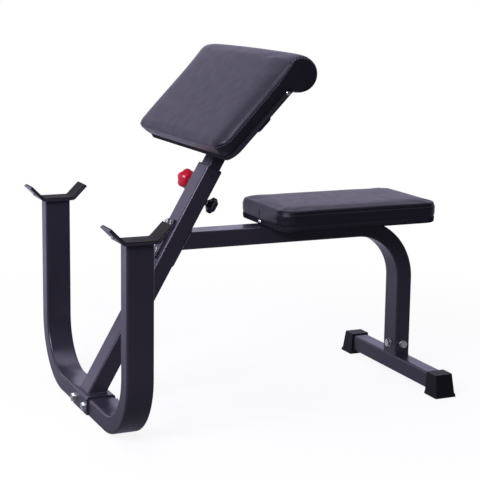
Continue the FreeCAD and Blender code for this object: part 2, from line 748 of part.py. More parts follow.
def pad_cover_screw_places():
    along = PAD_BOARD_END - PAD_COVER_SCREW_BACK
    side = PAD_SIDE - PAD_BOARD_INSET
    up = PAD_BOARD * COVER_SCREW_UP_SHARE
    return [(V(along, -side, up), Y), (V(along, side, up), -Y)]


def cover_screw(place, direction):
    screw = dome_screw(COVER_SCREW_HEAD, COVER_SCREW_RISE, COVER_SCREW_SHANK, COVER_SCREW_BITE)
    return pointed(screw, place, -direction)


def pad_section(y):
    """Outline of the arm pad's cushion at one place across it. It is drawn in and cut back round
    the lower corner near an end, and its top rises to a crown."""
    from_end = PAD_SIDE - abs(y)
    rounding = max(1 - from_end / PAD_END_ROUND, 0)
    drawn_in = PAD_END_INSET * rounding * rounding
    in_corner = max(PAD_CORNER - from_end, 0)
    cut_back = PAD_CORNER - math.sqrt(PAD_CORNER * PAD_CORNER - in_corner * in_corner)
    outward = abs(y) / PAD_SIDE
    crown = PAD_CROWN * (1 - (1 - PAD_CROWN_END_SHARE) * outward * outward)
    radius = ROLL_RADIUS - drawn_in
    low = PAD_CUSHION_UP
    front = drawn_in + cut_back
    top = PAD_FRONT - drawn_in
    dip = ROLL_UP - low

    def roll(degrees):
        return V(ROLL_ALONG + radius * cos_of(degrees), y, ROLL_UP + radius * sin_of(degrees))

    first = 180 + math.degrees(math.asin(dip / radius))
    last = 90 + math.degrees(math.atan((ROLL_UP + radius - top) / ROLL_ALONG))
    third = (last + 360 - first) / 3
    stops = [roll(first + third * i / 2) for i in range(7)]
    begin = V(front + PAD_FRONT_LEAN, y, low)
    nose = corner_arc(begin, V(front, y, top), stops[6], PAD_FRONT_CORNER)
    edges = [Part.makeLine(begin, stops[0])]
    for i in range(0, 6, 2):
        edges.append(Part.Arc(stops[i], stops[i + 1], stops[i + 2]).toShape())
    edges.append(Part.Arc(stops[6], (stops[6] + nose[2]) / 2 + Z * crown, nose[2]).toShape())
    edges.append(Part.Arc(nose[2], nose[1], nose[0]).toShape())
    edges.append(Part.makeLine(nose[0], begin))
    return Part.Wire(edges)


def arm_cushion():
    half = [PAD_SIDE * (share - 1) for share in PAD_STATION_SHARES]
    stations = half + [-y for y in half[-2::-1]]
    return placed(Part.makeLoft([pad_section(y) for y in stations], True, True), PAD)


# Pull pin. Along the pin, sizes run outwards from the tip of the drawn pin.

def pin_tip():
    return V(0, COLUMN_SIDE + PIN_TIP_GAP, PIN_S)


def barrel_end():
    return POST_SIDE + BARREL_LENGTH


def pin_barrel():
    start = V(0, POST_SIDE, PIN_S)
    body = rod(start, Y, BARREL_DIAMETER / 2, BARREL_LENGTH)
    outer_edge = [e for e in body.Edges if e.BoundBox.YMin > POST_SIDE + BARREL_LENGTH / 2]
    body = body.makeChamfer(BARREL_CHAMFER, outer_edge)
    room = rod(start, Y, BARREL_BORE / 2, BARREL_LENGTH - BARREL_CAP)
    bore = hole(start, Y, PIN_DIAMETER / 2 + TURN_GAP, BARREL_LENGTH)
    return placed(body.cut([room, bore]), POST)


def knob_start():
    """Inner end of the knob with the pin drawn."""
    return barrel_end() + KNOB_GAP + PIN_STROKE


def pull_pin():
    length = knob_start() + KNOB_SOCKET - pin_tip().y
    shank = rod(pin_tip(), Y, PIN_DIAMETER / 2, length)
    tip_edge = [e for e in shank.Edges if e.BoundBox.YMax < pin_tip().y + PIN_CHAMFER]
    shank = shank.makeChamfer(PIN_CHAMFER, tip_edge)
    collar = rod(pin_tip() + Y * PIN_COLLAR_BACK, Y, PIN_COLLAR / 2, PIN_COLLAR_THICK)
    return placed(shank.fuse(collar), POST)


def pin_spring():
    """Spring between the pin's collar and the barrel's cap, as it lies with the pin drawn."""
    start = pin_tip().y + PIN_COLLAR_BACK + PIN_COLLAR_THICK
    length = barrel_end() - BARREL_CAP - start
    radius = (SPRING_DIAMETER - SPRING_WIRE) / 2
    climb = length - SPRING_WIRE
    quarter = climb / (4 * SPRING_TURNS)
    edges = []
    points = []
    for i in range(8 * SPRING_TURNS + 1):
        angle = 45 * i
        points.append(V(radius * cos_of(angle), radius * sin_of(angle), SPRING_WIRE / 2 + quarter * i / 2))
    for i in range(0, 8 * SPRING_TURNS, 2):
        edges.append(Part.Arc(points[i], points[i + 1], points[i + 2]).toShape())
    path = Part.Wire(edges)
    tangent = edges[0].tangentAt(edges[0].FirstParameter)
    across = tangent.cross(X).normalize()
    ring = []
    for i in range(SPRING_WIRE_SIDES):
        angle = 360 * i / SPRING_WIRE_SIDES
        ring.append(points[0] + (X * cos_of(angle) + across * sin_of(angle)) * (SPRING_WIRE / 2))
    coil = path.makePipeShell([outline(ring, [0] * SPRING_WIRE_SIDES)], True, False)
    return placed(pointed(coil, V(0, start, PIN_S), Y), POST)


def pull_knob():
    sections = [(KNOB_LENGTH * height, share) for height, share in KNOB_SECTION_SHARES]
    knob = fluted_knob(KNOB_DIAMETER, KNOB_DEPTH_SHARE, KNOB_FLUTES, KNOB_FLUTE_RADIUS, sections)
    knob = knob.cut(rod(V(0, 0, 0), Z, PIN_DIAMETER / 2 + TURN_GAP, KNOB_SOCKET + TURN_GAP))
    return placed(pointed(knob, V(0, knob_start(), PIN_S), Y), POST)


# Clamp screw. Along it, sizes run backwards from the back of the post.

def clamp_knob_start():
    return CLAMP_NUT_HEIGHT + CLAMP_STEM


def clamp_place(back):
    return V(POST_BACK + back, 0, CLAMP_S)


def clamp_nut():
    nut = bevelled_hex(CLAMP_NUT_ACROSS, CLAMP_NUT_HEIGHT)
    nut = nut.cut(hole(V(0, 0, 0), Z, CLAMP_SCREW / 2 + TURN_GAP, CLAMP_NUT_HEIGHT))
    return placed(pointed(nut, clamp_place(0), X), POST)


def clamp_pad():
    tip = V(COLUMN_BACK + CLAMP_TIP_GAP, 0, CLAMP_S)
    disc = rod(tip, X, CLAMP_PAD / 2, CLAMP_PAD_THICK)
    return placed(disc.fuse(rod(tip, X, CLAMP_PAD_STEM / 2, CLAMP_PAD_THICK + CLAMP_PAD_STEM_LENGTH)), POST)


def clamp_stud():
    start = V(COLUMN_BACK + CLAMP_TIP_GAP + CLAMP_PAD_THICK + TURN_GAP, 0, CLAMP_S)
    length = POST_BACK + clamp_knob_start() + CLAMP_SOCKET - start.x
    stud = rod(start, X, CLAMP_SCREW / 2, length)
    end_edge = [e for e in stud.Edges if e.BoundBox.XMax < start.x + PIN_CHAMFER]
    stud = stud.makeChamfer(PIN_CHAMFER, end_edge)
    return placed(stud.cut(rod(start, X, CLAMP_PAD_STEM / 2 + TURN_GAP, CLAMP_PAD_STEM_LENGTH)), POST)


def clamp_knob():
    boss = rod(V(0, 0, 0), Z, CLAMP_BOSS / 2, CLAMP_BOSS_LENGTH)
    sections = [(CLAMP_BOSS_LENGTH + CLAMP_KNOB_THICK * h, share) for h, share in CLAMP_SECTION_SHARES]
    head = fluted_knob(CLAMP_KNOB, CLAMP_DEPTH_SHARE, CLAMP_FLUTES, CLAMP_FLUTE_RADIUS, sections)
    socket = rod(V(0, 0, 0), Z, CLAMP_SCREW / 2 + TURN_GAP, CLAMP_SOCKET + TURN_GAP)
    knob = boss.fuse(head).cut(socket)
    return placed(pointed(knob, clamp_place(clamp_knob_start()), X), POST)


# Seat beam, rear leg and foot

def beam_end_cut():
    """Everything in front of the back of the post, and the room for the flange."""
    size = 2 * LEG_SPACING
    block = Part.makeBox(size, size, size, V(POST_BACK - size, -size / 2, -size / 2))
    return placed(block.fuse(beam_flange(WELD_GAP)), POST)


def leg_bolt_places():
    """Place on the leg and direction into it, for the bolt in front and the one at the side."""
    front = V(LEG_X - TUBE_DEEP / 2, 0, BAR_TOP + LEG_BOLT_FRONT_UP)
    side = V(LEG_X, -TUBE_WIDE / 2, BAR_TOP + LEG_BOLT_SIDE_UP)
    return [(front, X), (side, Y)]


def leg_bolt_holes():
    return [hole(p, d, BOLT / 2 + HOLE_GAP, TUBE_WALL + STUB_GAP) for p, d in leg_bolt_places()]


def seat_beam():
    start = V(U_X, 0, BEAM_MIDDLE)
    bend = V(LEG_X - TUBE_BEND, 0, BEAM_MIDDLE - TUBE_BEND)
    face = tube_face(start, Y, Z, TUBE_WIDE, TUBE_DEEP, TUBE_CORNER, TUBE_WALL)
    tube = bent_tube(face, [
        X * (bend.x - start.x),
        (bend, Y, 90),
        -Z * (bend.z - BAR_TOP),
    ])
    return tube.cut([beam_end_cut()] + leg_bolt_holes())


def stub_size():
    return BORE_DEEP - 2 * STUB_GAP, BORE_WIDE - 2 * STUB_GAP


def leg_stub():
    deep, wide = stub_size()
    face = tube_face(V(LEG_X, 0, BAR_TOP), X, Y, deep, wide, BORE_CORNER, STUB_WALL)
    tube = face.extrude(Z * STUB_HEIGHT)
    depth = TUBE_WALL + STUB_GAP + STUB_WALL
    return tube.cut([hole(p, d, BOLT / 2 + HOLE_GAP, depth) for p, d in leg_bolt_places()])


def leg_fasteners():
    """Bolts with washers outside the leg, and the nuts welded inside its stub."""
    thick = washer_thickness(BOLT)
    inside = TUBE_WALL + STUB_GAP + STUB_WALL
    bolts, nuts, washers = [], [], []
    for place, direction in leg_bolt_places():
        bolts.append(pointed(bolt_shape(BOLT, LEG_BOLT_LENGTH), place - direction * thick, -direction))
        washers.append(pointed(washer_shape(BOLT), place, -direction))
        nuts.append(pointed(nut_shape(BOLT), place + direction * inside, direction))
    return bolts, nuts, washers


def rear_crossbar():
    start = V(LEG_X, -BAR_LENGTH / 2, BAR_BOTTOM + BAR_SIZE / 2)
    return tube_face(start, X, Z, BAR_SIZE, BAR_SIZE, TUBE_CORNER, TUBE_WALL).extrude(Y * BAR_LENGTH)


def cap_level(height, side, end):
    """Rectangle of a foot cap at one height. The cap on the right is modelled."""
    inner = BAR_LENGTH / 2 + CAP_WALL - CAP_LENGTH
    half = BAR_SIZE / 2 + CAP_WALL + side
    outer = BAR_LENGTH / 2 + CAP_WALL + end
    corners = ((-half, inner), (half, inner), (half, outer), (-half, outer))
    points = [V(LEG_X + x, y, height) for x, y in corners]
    return outline(points, [0, 0, CAP_WALL, CAP_WALL])


def foot_cap():
    body = Part.makeLoft([cap_level(CAP_LIP_HEIGHT, CAP_SPLAY, CAP_END_SPLAY),
                          cap_level(BAR_TOP + CAP_WALL, 0, 0)], True, True)
    lip_top = cap_level(CAP_LIP_HEIGHT, CAP_SPLAY + CAP_LIP / 2, CAP_END_SPLAY + CAP_END_LIP / 2)
    lip = Part.makeLoft([cap_level(0, CAP_SPLAY + CAP_LIP, CAP_END_SPLAY + CAP_END_LIP), lip_top], True, True)
    middle = V(LEG_X, 0, BAR_BOTTOM + BAR_SIZE / 2)
    room = BAR_SIZE + 2 * TURN_GAP
    pocket = rounded_bar(middle, X, Z, room, room, TUBE_CORNER + TURN_GAP, Y * (BAR_LENGTH / 2 + TURN_GAP))
    return body.fuse(lip).cut(pocket)


# Seat

def seat_plate(share):
    x = SEAT_FRONT_X + SEAT_LENGTH * share
    centre = V(x, 0, BEAM_TOP)
    run = Z * SEAT_PLATE_THICK
    strap = rounded_bar(centre, X, Y, SEAT_PLATE_WIDE, SEAT_PLATE_LONG, SEAT_PLATE_CORNER, run)
    radius = SCREW_SHANK / 2 + TURN_GAP
    return strap.cut([hole(p, Z, radius, SEAT_PLATE_THICK) for p in seat_screw_places(share)])


def seat_screw_places(share):
    x = SEAT_FRONT_X + SEAT_LENGTH * share
    return [V(x, side * SEAT_SCREW_SPACING / 2, BEAM_TOP) for side in (-1, 1)]


def all_seat_screw_places():
    return [p for share in SEAT_PLATE_SHARES for p in seat_screw_places(share)]


def seat_screws():
    screw = dome_screw(SCREW_HEAD, SCREW_HEAD_RISE, SCREW_SHANK, SEAT_PLATE_THICK + SCREW_BITE)
    return [pointed(screw, p, -Z) for p in all_seat_screw_places()]


def seat_cover_screw_place():
    return V(SEAT_FRONT_X + SEAT_BOARD_INSET, 0, SEAT_BOARD_Z + SEAT_BOARD * COVER_SCREW_UP_SHARE)


def seat_board():
    centre = V(SEAT_MIDDLE_X, 0, SEAT_BOARD_Z)
    length = SEAT_LENGTH - 2 * SEAT_BOARD_INSET
    width = SEAT_WIDTH - 2 * SEAT_BOARD_INSET
    board = rounded_bar(centre, X, Y, length, width, SEAT_CORNER - SEAT_BOARD_INSET, Z * SEAT_BOARD)
    depth = SEAT_PLATE_THICK + SCREW_BITE + TURN_GAP
    bores = [screw_bore(p, Z, depth) for p in all_seat_screw_places()]
    radius = COVER_SCREW_SHANK / 2 + TURN_GAP
    bores.append(rod(seat_cover_screw_place(), X, radius, COVER_SCREW_BITE + TURN_GAP))
    return board.cut(bores)


def seat_section(height, inset):
    """Outline of the seat cushion at one height, with its sides drawn in between the corners."""
    half_x = SEAT_LENGTH / 2 - inset
    half_y = SEAT_WIDTH / 2 - inset
    middle = V(SEAT_MIDDLE_X, 0, SEAT_CUSHION_Z + height)
    straight_x = SEAT_LENGTH / 2 - SEAT_CORNER
    straight_y = SEAT_WIDTH / 2 - SEAT_CORNER
    corner_x = min(straight_x, half_x * straight_x / (SEAT_LENGTH / 2))
    corner_y = min(straight_y, half_y * straight_y / (SEAT_WIDTH / 2))
    reach_x, reach_y = half_x - corner_x, half_y - corner_y
    diagonal = math.sqrt(2) / 2
    edges = []
    for turn, (sx, sy) in enumerate(((1, 1), (-1, 1), (-1, -1), (1, -1))):
        along_x = middle + V(sx * half_x, sy * corner_y, 0)
        along_y = middle + V(sx * corner_x, sy * half_y, 0)
        bulge = middle + V(sx * (corner_x + reach_x * diagonal), sy * (corner_y + reach_y * diagonal), 0)
        if turn % 2 == 0:
            edges.append(Part.Arc(along_x, bulge, along_y).toShape())
            other = middle + V(-sx * corner_x, sy * half_y, 0)
            edges.append(Part.Arc(along_y, middle + V(0, sy * (half_y - SEAT_DRAW), 0), other).toShape())
        else:
            edges.append(Part.Arc(along_y, bulge, along_x).toShape())
            other = middle + V(sx * half_x, -sy * corner_y, 0)
            edges.append(Part.Arc(along_x, middle + V(sx * (half_x - SEAT_DRAW), 0, 0), other).toShape())
    return Part.Wire(edges)


def seat_cushion():
    wires = [seat_section(SEAT_CUSHION * up, SEAT_CORNER * inset) for up, inset in SEAT_SECTION_SHARES]
    return Part.makeLoft(wires, True, True)


# The whole bench

def bench():
    nodes = {"u_frame": u_frame(), "base_saddle": base_saddle()}
    rivets = []
    for name, side in (("left", -1), ("right", 1)):
        seat = cradle_seat(side)
        nodes["bar_cradle_" + name] = bar_cradle().translated(seat)
        nodes["cradle_liner_" + name] = cradle_liner().translated(seat)
        rivets += [cradle_rivet(p, d).translated(seat) for p, d in rivet_places()]
    nodes["cradle_rivets"] = Part.makeCompound(rivets)

    joints = {
        "saddle": (saddle_bolt_places(), X, BOLT, saddle_grip(), FreeCAD.Placement()),
        "bracket": (bracket_bolt_places(), Y, SMALL_BOLT, bracket_grip(), POST),
    }
    for name, (places, direction, size, grip, placement) in joints.items():
        sets = [through_bolt(p, direction, size, grip) for p in places]
        nodes[name + "_bolts"] = Part.makeCompound([placed(s[0], placement) for s in sets])
        nodes[name + "_nuts"] = Part.makeCompound([placed(s[1], placement) for s in sets])
        nodes[name + "_washers"] = Part.makeCompound([placed(w, placement) for s in sets for w in s[2]])

    nodes["front_post"] = front_post()
    nodes["beam_flange"] = placed(beam_flange(0).cut(stud_holes()), POST)
    nodes["beam_backing_plate"] = placed(beam_backing_plate().cut(stud_holes()), POST)
    for name, pieces in zip(("beam_studs", "beam_nuts", "beam_washers"), beam_studs()):
        nodes[name] = Part.makeCompound(pieces)
    nodes["post_bush"] = post_bush()
    nodes["seat_beam"] = seat_beam()
    nodes["leg_stub"] = leg_stub()
    for name, pieces in zip(("leg_bolts", "leg_nuts", "leg_washers"), leg_fasteners()):
        nodes[name] = Part.makeCompound(pieces)
    nodes["rear_crossbar"] = rear_crossbar()
    nodes["foot_cap_right"] = foot_cap()
    nodes["foot_cap_left"] = foot_cap().mirror(V(0, 0, 0), Y)

    for name, share in zip(("front", "rear"), SEAT_PLATE_SHARES):
        nodes["seat_plate_" + name] = seat_plate(share)
    nodes["seat_board"] = seat_board()
    nodes["seat_cushion"] = seat_cushion()
    nodes["seat_screws"] = Part.makeCompound(seat_screws())
    nodes["seat_cover_screw"] = cover_screw(seat_cover_screw_place(), X)

    nodes["inner_post"] = inner_post()
    nodes["column_top_plug"] = column_plug(V(0, 0, COLUMN_TOP), Z, PLUG_FLANGE)
    nodes["column_bottom_plug"] = column_plug(V(0, 0, COLUMN_BOTTOM), -Z, 0)
    nodes["arm_bracket"] = arm_bracket()
    nodes["arm_cross_bar"] = arm_cross_bar()
    nodes["arm_board"] = arm_board()
    nodes["arm_cushion"] = arm_cushion()
    nodes["arm_screws"] = Part.makeCompound(arm_screws())
    pad_screws = [placed(cover_screw(p, d), PAD) for p, d in pad_cover_screw_places()]
    nodes["arm_cover_screws"] = Part.makeCompound(pad_screws)

    nodes["pin_barrel"] = pin_barrel()
    nodes["pull_pin"] = pull_pin()
    nodes["pin_spring"] = pin_spring()
    nodes["pull_knob"] = pull_knob()
    nodes["clamp_nut"] = clamp_nut()
    nodes["clamp_pad"] = clamp_pad()
    nodes["clamp_stud"] = clamp_stud()
    nodes["clamp_knob"] = clamp_knob()
    return nodes


def main():
    os.makedirs("parts", exist_ok=True)
    for name, shape in bench().items():
        if not shape.isValid():
            raise ValueError(name + " is not a valid shape")
        shape.exportStep("parts/" + name + ".step")


main()
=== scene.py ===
import math

import bpy
from mathutils import Matrix, Vector
from mathutils.kdtree import KDTree


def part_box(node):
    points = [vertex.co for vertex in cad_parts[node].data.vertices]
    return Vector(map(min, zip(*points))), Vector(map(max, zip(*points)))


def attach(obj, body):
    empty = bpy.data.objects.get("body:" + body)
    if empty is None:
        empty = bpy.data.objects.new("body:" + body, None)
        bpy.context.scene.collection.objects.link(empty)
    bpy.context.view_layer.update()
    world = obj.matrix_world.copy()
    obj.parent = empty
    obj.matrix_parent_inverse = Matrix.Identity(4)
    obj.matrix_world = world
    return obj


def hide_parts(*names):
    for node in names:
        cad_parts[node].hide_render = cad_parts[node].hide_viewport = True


# Looks of the preacher curl bench: covers, seams, welds, knobs, finishes, light and camera.
# Lengths are in millimetres here, and become metres where a mesh is made.

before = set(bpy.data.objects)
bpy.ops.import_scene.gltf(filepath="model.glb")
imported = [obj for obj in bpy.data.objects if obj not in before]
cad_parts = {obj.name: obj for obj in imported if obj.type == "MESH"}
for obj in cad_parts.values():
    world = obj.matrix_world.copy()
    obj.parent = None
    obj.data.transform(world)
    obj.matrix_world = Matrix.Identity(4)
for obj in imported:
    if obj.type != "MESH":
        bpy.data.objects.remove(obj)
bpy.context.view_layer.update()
MM = 0.001


def box_of(node):
    low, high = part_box(node)
    return low / MM, high / MM


# Places read from the frame
U_LOW, U_HIGH = box_of("u_frame")
U_X = (U_LOW.x + U_HIGH.x) / 2
SADDLE_TOP = box_of("base_saddle")[1].z
SEAT_LOW, SEAT_HIGH = box_of("seat_cushion")
SEAT_MIDDLE = (SEAT_LOW + SEAT_HIGH) / 2
SEAT_BOARD_LOW, SEAT_BOARD_HIGH = box_of("seat_board")

# The post and the arm pad have frames of their own, on their slopes. The post's Z runs along it,
# and the pad's X runs from its front edge to the roll.
POST_TILT = math.radians(29.7)
PAD_TILT = math.radians(-45.8)
POST_OFFSET = 2.3
PAD_START = (-71.4, 0, 580.5)   # in the post's frame
POST_FOOT = Matrix.Translation((U_X - POST_OFFSET, 0, SADDLE_TOP))
POST = POST_FOOT @ Matrix.Rotation(POST_TILT, 4, "Y")
PAD = Matrix.Translation(POST @ Vector(PAD_START)) @ Matrix.Rotation(PAD_TILT, 4, "Y")
PIN_ALONG = 526.0
CLAMP_ALONG = 495.0
CLAMP_BACK = 15.0
BEAM_ALONG = 394.3

# Tubes
TUBE_WIDE = 60.0
TUBE_DEEP = 40.0
TUBE_CORNER = 5.0

# Weld beads
WELD_RIPPLE = 2.3
WELD_SIDES = 10
ROUND_BASE = 10.0               # radius of the barrel and of the clamp's nut
CORNER_ARC = 6

# Seat cushion
SEAT_HALF_X = (SEAT_HIGH.x - SEAT_LOW.x) / 2
SEAT_HALF_Y = (SEAT_HIGH.y - SEAT_LOW.y) / 2
SEAT_CORNER = 38.0
SEAT_CORNER_LEAST = 5.0
SEAT_DRAW = 1.0                 # how far the sides are drawn in at their middles
SEAT_CROWN = 2.4
SEAT_SEAM_DEPTH = 0.5
SEAT_UPRIGHT_DEPTH = 1.5
SEAT_STITCH_RADIUS = 0.4
SEAT_STAPLE_INSET = 14.0
BOARD_INSET = 4.0

# Arm pad cushion, in the pad's own frame
PAD_SIDE = 250.0
PAD_CORNER = 31.0
PAD_CORNER_LEAST = 8.0
PAD_LOW = 12.3
PAD_TOP = 50.0
PAD_DROP = PAD_TOP - PAD_LOW
PAD_CROWN = 5.0
PAD_CROWN_LOSS = 0.8            # share of the crown that is lost at the pad's ends
PAD_SEAM_DEPTH = 0.9
PAD_STAPLE_INSET = 13.0
PAD_BOARD = 12.0
PAD_BOARD_START = 4.0
PAD_BOARD_END = 200.4
PAD_BOARD_SIDE = 244.0
PAD_BOARD_CORNER = 32.0
ROLL_ALONG = 243.0
ROLL_UP = 13.0
ROLL_RADIUS = 42.0
CROSS_BAR = (84.0, 136.0)
CROSS_BAR_CLEAR = 8.0           # kept free of staples beside the bar

# Covers
SNUG = 0.6                      # covers are made this much small, and then swell
CORNER_SHRINK = 0.7             # share of an inset that a corner's radius loses
SWELL_PRESSURE = 4.0
SWELL_CAP = 2.5
SWELL_FRAMES = 20
EVEN_PASSES = 8
WRAP_THICK = 0.9
WRAP_FLANGE = 21.0
WRAP_LAP = 0.24                 # how far a wrap reaches past the top of its board
WRAP_GAP = 0.05
DASH_SIDES = 6
STITCH_STEP = 6.2
STITCH_LENGTH = 4.2
STITCH_RADIUS = 0.5
STAPLE_STEP = 30.0
STAPLE_LENGTH = 11.0
STAPLE_RADIUS = 0.55
STAPLE_LIFT = 0.2


# Meshes

def add_mesh(name, points, faces):
    mesh = bpy.data.meshes.new(name)
    mesh.from_pydata([tuple(Vector(p) * MM) for p in points], [], faces)
    mesh.validate()
    mesh.update()
    mesh.shade_smooth()
    obj = bpy.data.objects.new(name, mesh)
    bpy.context.scene.collection.objects.link(obj)
    return obj


def band(count, first, second):
    """Quads between two rings of points, given the first index of each."""
    faces = []
    for j in range(count):
        k = (j + 1) % count
        faces.append((first + j, first + k, second + k, second + j))
    return faces


def zip_up(count, first, flipped):
    """Faces that close a ring whose point j lies across from point count - j."""
    half = count // 2
    faces = [(first, first + 1, first + count - 1)]
    for j in range(1, half - 1):
        faces.append((first + j, first + j + 1, first + count - j - 1, first + count - j))
    faces.append((first + half - 1, first + half, first + half + 1))
    return [face[::-1] for face in faces] if flipped else faces


def skin(name, rings, ends="zipped"):
    """Mesh over rings of points. Its ends are zipped up, joined to each other, or left as flat faces."""
    count = len(rings[0])
    points = [p for ring in rings for p in ring]
    faces = []
    for i in range(len(rings) - 1):
        faces += band(count, i * count, (i + 1) * count)
    last = (len(rings) - 1) * count
    if ends == "zipped":
        faces += zip_up(count, 0, True) + zip_up(count, last, False)
    elif ends == "joined":
        faces += band(count, last, 0)
    else:
        faces += [tuple(range(count))[::-1], tuple(range(last, last + count))]
    return add_mesh(name, points, faces)


def face_outward(obj):
    """Turns the faces of a closed mesh outwards."""
    mesh = obj.data
    volume = 0.0
    for polygon in mesh.polygons:
        volume += polygon.normal.dot(polygon.center) * polygon.area
    if volume < 0:
        mesh.flip_normals()
    return obj


def turned(name, profile, sides, placement, flute=None):
    """Turned piece from (radius, height) pairs. A flute changes the radius by angle and height."""
    rings = []
    for radius, height in profile:
        ring = []
        for j in range(sides):
            angle = 2 * math.pi * j / sides
            r = radius * flute(angle, height) if flute else radius
            ring.append(placement @ Vector((r * math.cos(angle), r * math.sin(angle), height)))
        rings.append(ring)
    return face_outward(skin(name, rings, "flat"))


def walk(path, step, closed=True):
    """Points at even steps along a path of (place, normal) pairs, with direction and normal."""
    pairs = list(path) + ([path[0]] if closed else [])
    lengths = [0.0]
    for (a, _), (b, _) in zip(pairs, pairs[1:]):
        lengths.append(lengths[-1] + (b - a).length)
    count = max(2, round(lengths[-1] / step))
    found = []
    i = 0
    for k in range(count):
        at = lengths[-1] * (k + 0.5) / count
        while lengths[i + 1] < at:
            i += 1
        share = (at - lengths[i]) / max(lengths[i + 1] - lengths[i], 1e-9)
        place = pairs[i][0].lerp(pairs[i + 1][0], share)
        normal = pairs[i][1].lerp(pairs[i + 1][1], share).normalized()
        found.append((place, (pairs[i + 1][0] - pairs[i][0]).normalized(), normal))
    return found


def dashes(name, stations, length, radius):
    """Short rounded dashes lying on a surface, one for each station of a walk."""
    shape = ((-0.5, 0.25), (-0.42, 0.8), (-0.25, 1.0), (0.25, 1.0), (0.42, 0.8), (0.5, 0.25))
    points, faces = [], []
    for place, along, normal in stations:
        across = normal.cross(along).normalized()
        start = len(points)
        for share, size in shape:
            for j in range(DASH_SIDES):
                angle = 2 * math.pi * j / DASH_SIDES
                out = (across * math.cos(angle) + normal * math.sin(angle)) * (radius * size)
                points.append(place + along * (length * share) + out)
        for i in range(len(shape) - 1):
            faces += band(DASH_SIDES, start + i * DASH_SIDES, start + (i + 1) * DASH_SIDES)
        last = start + (len(shape) - 1) * DASH_SIDES
        faces += [tuple(range(start, start + DASH_SIDES))[::-1], tuple(range(last, last + DASH_SIDES))]
    return add_mesh(name, points, faces)


def weld(name, path, radius):
    """Rippled weld bead along a closed path of (place, normal) pairs."""
    stations = walk(path, WELD_RIPPLE / 4)
    rings = []
    for i, (place, along, normal) in enumerate(stations):
        across = normal.cross(along).normalized()
        size = radius * (0.9 + 0.13 * abs(math.cos(math.pi * i / 4)) + 0.05 * math.sin(i * 0.37))
        ring = []
        for j in range(WELD_SIDES):
            angle = 2 * math.pi * j / WELD_SIDES
            ring.append(place + (across * math.cos(angle) + normal * math.sin(angle)) * size)
        rings.append(ring)
    return face_outward(skin(name, rings, "joined"))


def rounded_rectangle(half_a, half_b, corner):
    """Points of a rounded rectangle about the origin, with the outward direction at each."""
    found = []
    for quarter, (sa, sb) in enumerate(((1, 1), (-1, 1), (-1, -1), (1, -1))):
        for i in range(CORNER_ARC + 1):
            angle = math.radians(90 * quarter + 90 * i / CORNER_ARC)
            out = Vector((math.cos(angle), math.sin(angle)))
            found.append((Vector((sa * (half_a - corner), sb * (half_b - corner))) + out * corner, out))
    return found


# Cloth

def evened(mesh, moves, held):
    """Moves averaged with those of their neighbours, except where the mesh is held."""
    beside = [[] for _ in mesh.vertices]
    for edge in mesh.edges:
        a, b = edge.vertices
        beside[a].append(b)
        beside[b].append(a)
    for _ in range(EVEN_PASSES):
        kept = moves
        moves = []
        for i, near in enumerate(beside):
            total = kept[i].copy()
            for k in near:
                total += kept[k]
            moves.append(kept[i] if i in held else total / (len(near) + 1))
    return moves


def swell(obj, pinned):
    """Blows a cover up against its pinned points. The moves are evened out and kept under the cap."""
    mesh = obj.data
    start = [v.co.copy() for v in mesh.vertices]
    group = obj.vertex_groups.new(name="pinned")
    group.add(list(pinned), 1.0, "REPLACE")
    cloth = obj.modifiers.new("Cover", "CLOTH")
    cloth.settings.quality = 6
    cloth.settings.mass = 0.25
    cloth.settings.tension_stiffness = 12
    cloth.settings.compression_stiffness = 12
    cloth.settings.shear_stiffness = 6
    cloth.settings.bending_stiffness = 0.6
    cloth.settings.vertex_group_mass = "pinned"
    cloth.settings.use_pressure = True
    cloth.settings.uniform_pressure_force = SWELL_PRESSURE
    cloth.settings.effector_weights.gravity = 0.0
    cloth.collision_settings.use_collision = False
    cloth.point_cache.frame_start = 1
    cloth.point_cache.frame_end = SWELL_FRAMES
    scene = bpy.context.scene
    for number in range(1, SWELL_FRAMES + 1):
        scene.frame_set(number)
    blown = obj.evaluated_get(bpy.context.evaluated_depsgraph_get()).to_mesh()
    moves = [v.co - old for v, old in zip(blown.vertices, start)]
    obj.modifiers.remove(cloth)
    obj.vertex_groups.clear()
    limit = SWELL_CAP * MM
    for vertex, old, move in zip(mesh.vertices, start, evened(mesh, moves, set(pinned))):
        vertex.co = old + move * (limit / move.length if move.length > limit else 1.0)
    mesh.update()
    scene.frame_set(1)


def press(obj, depths):
    """Presses vertices in along their normals, given {vertex number: depth}."""
    vertices = obj.data.vertices
    normals = {i: vertices[i].normal.copy() for i in depths}
    for i, depth in depths.items():
        vertices[i].co -= normals[i] * (depth * MM)
    obj.data.update()


def subdivide(obj):
    """Rounds a cover off between its points."""
    smooth = obj.modifiers.new("Smooth", "SUBSURF")
    smooth.levels = 1
    smooth.render_levels = 1


def surface_line(obj, indices):
    """(place, normal) pairs of some vertices, in millimetres."""
    vertices = obj.data.vertices
    return [(vertices[i].co / MM, vertices[i].normal.copy()) for i in indices]


def wave(value, seed):
    """Slow, uneven number from -1 to 1."""
    waves = ((1.0, 1.0), (1.7, 2.3), (2.9, 0.7))
    return sum(math.sin(value * pace + seed * shift) for pace, shift in waves) / len(waves)


# Seat

# Places along half of the front, as shares of it, with two close together at the upright seam
SEAT_SHARES = [0.0] + [1 - share for share in [0.98] + [0.9 * i / 11 for i in range(10, -1, -1)]]
SEAT_CORNER_STEPS, SEAT_SIDE_STEPS, SEAT_TOP_STEPS = 12, 28, 16
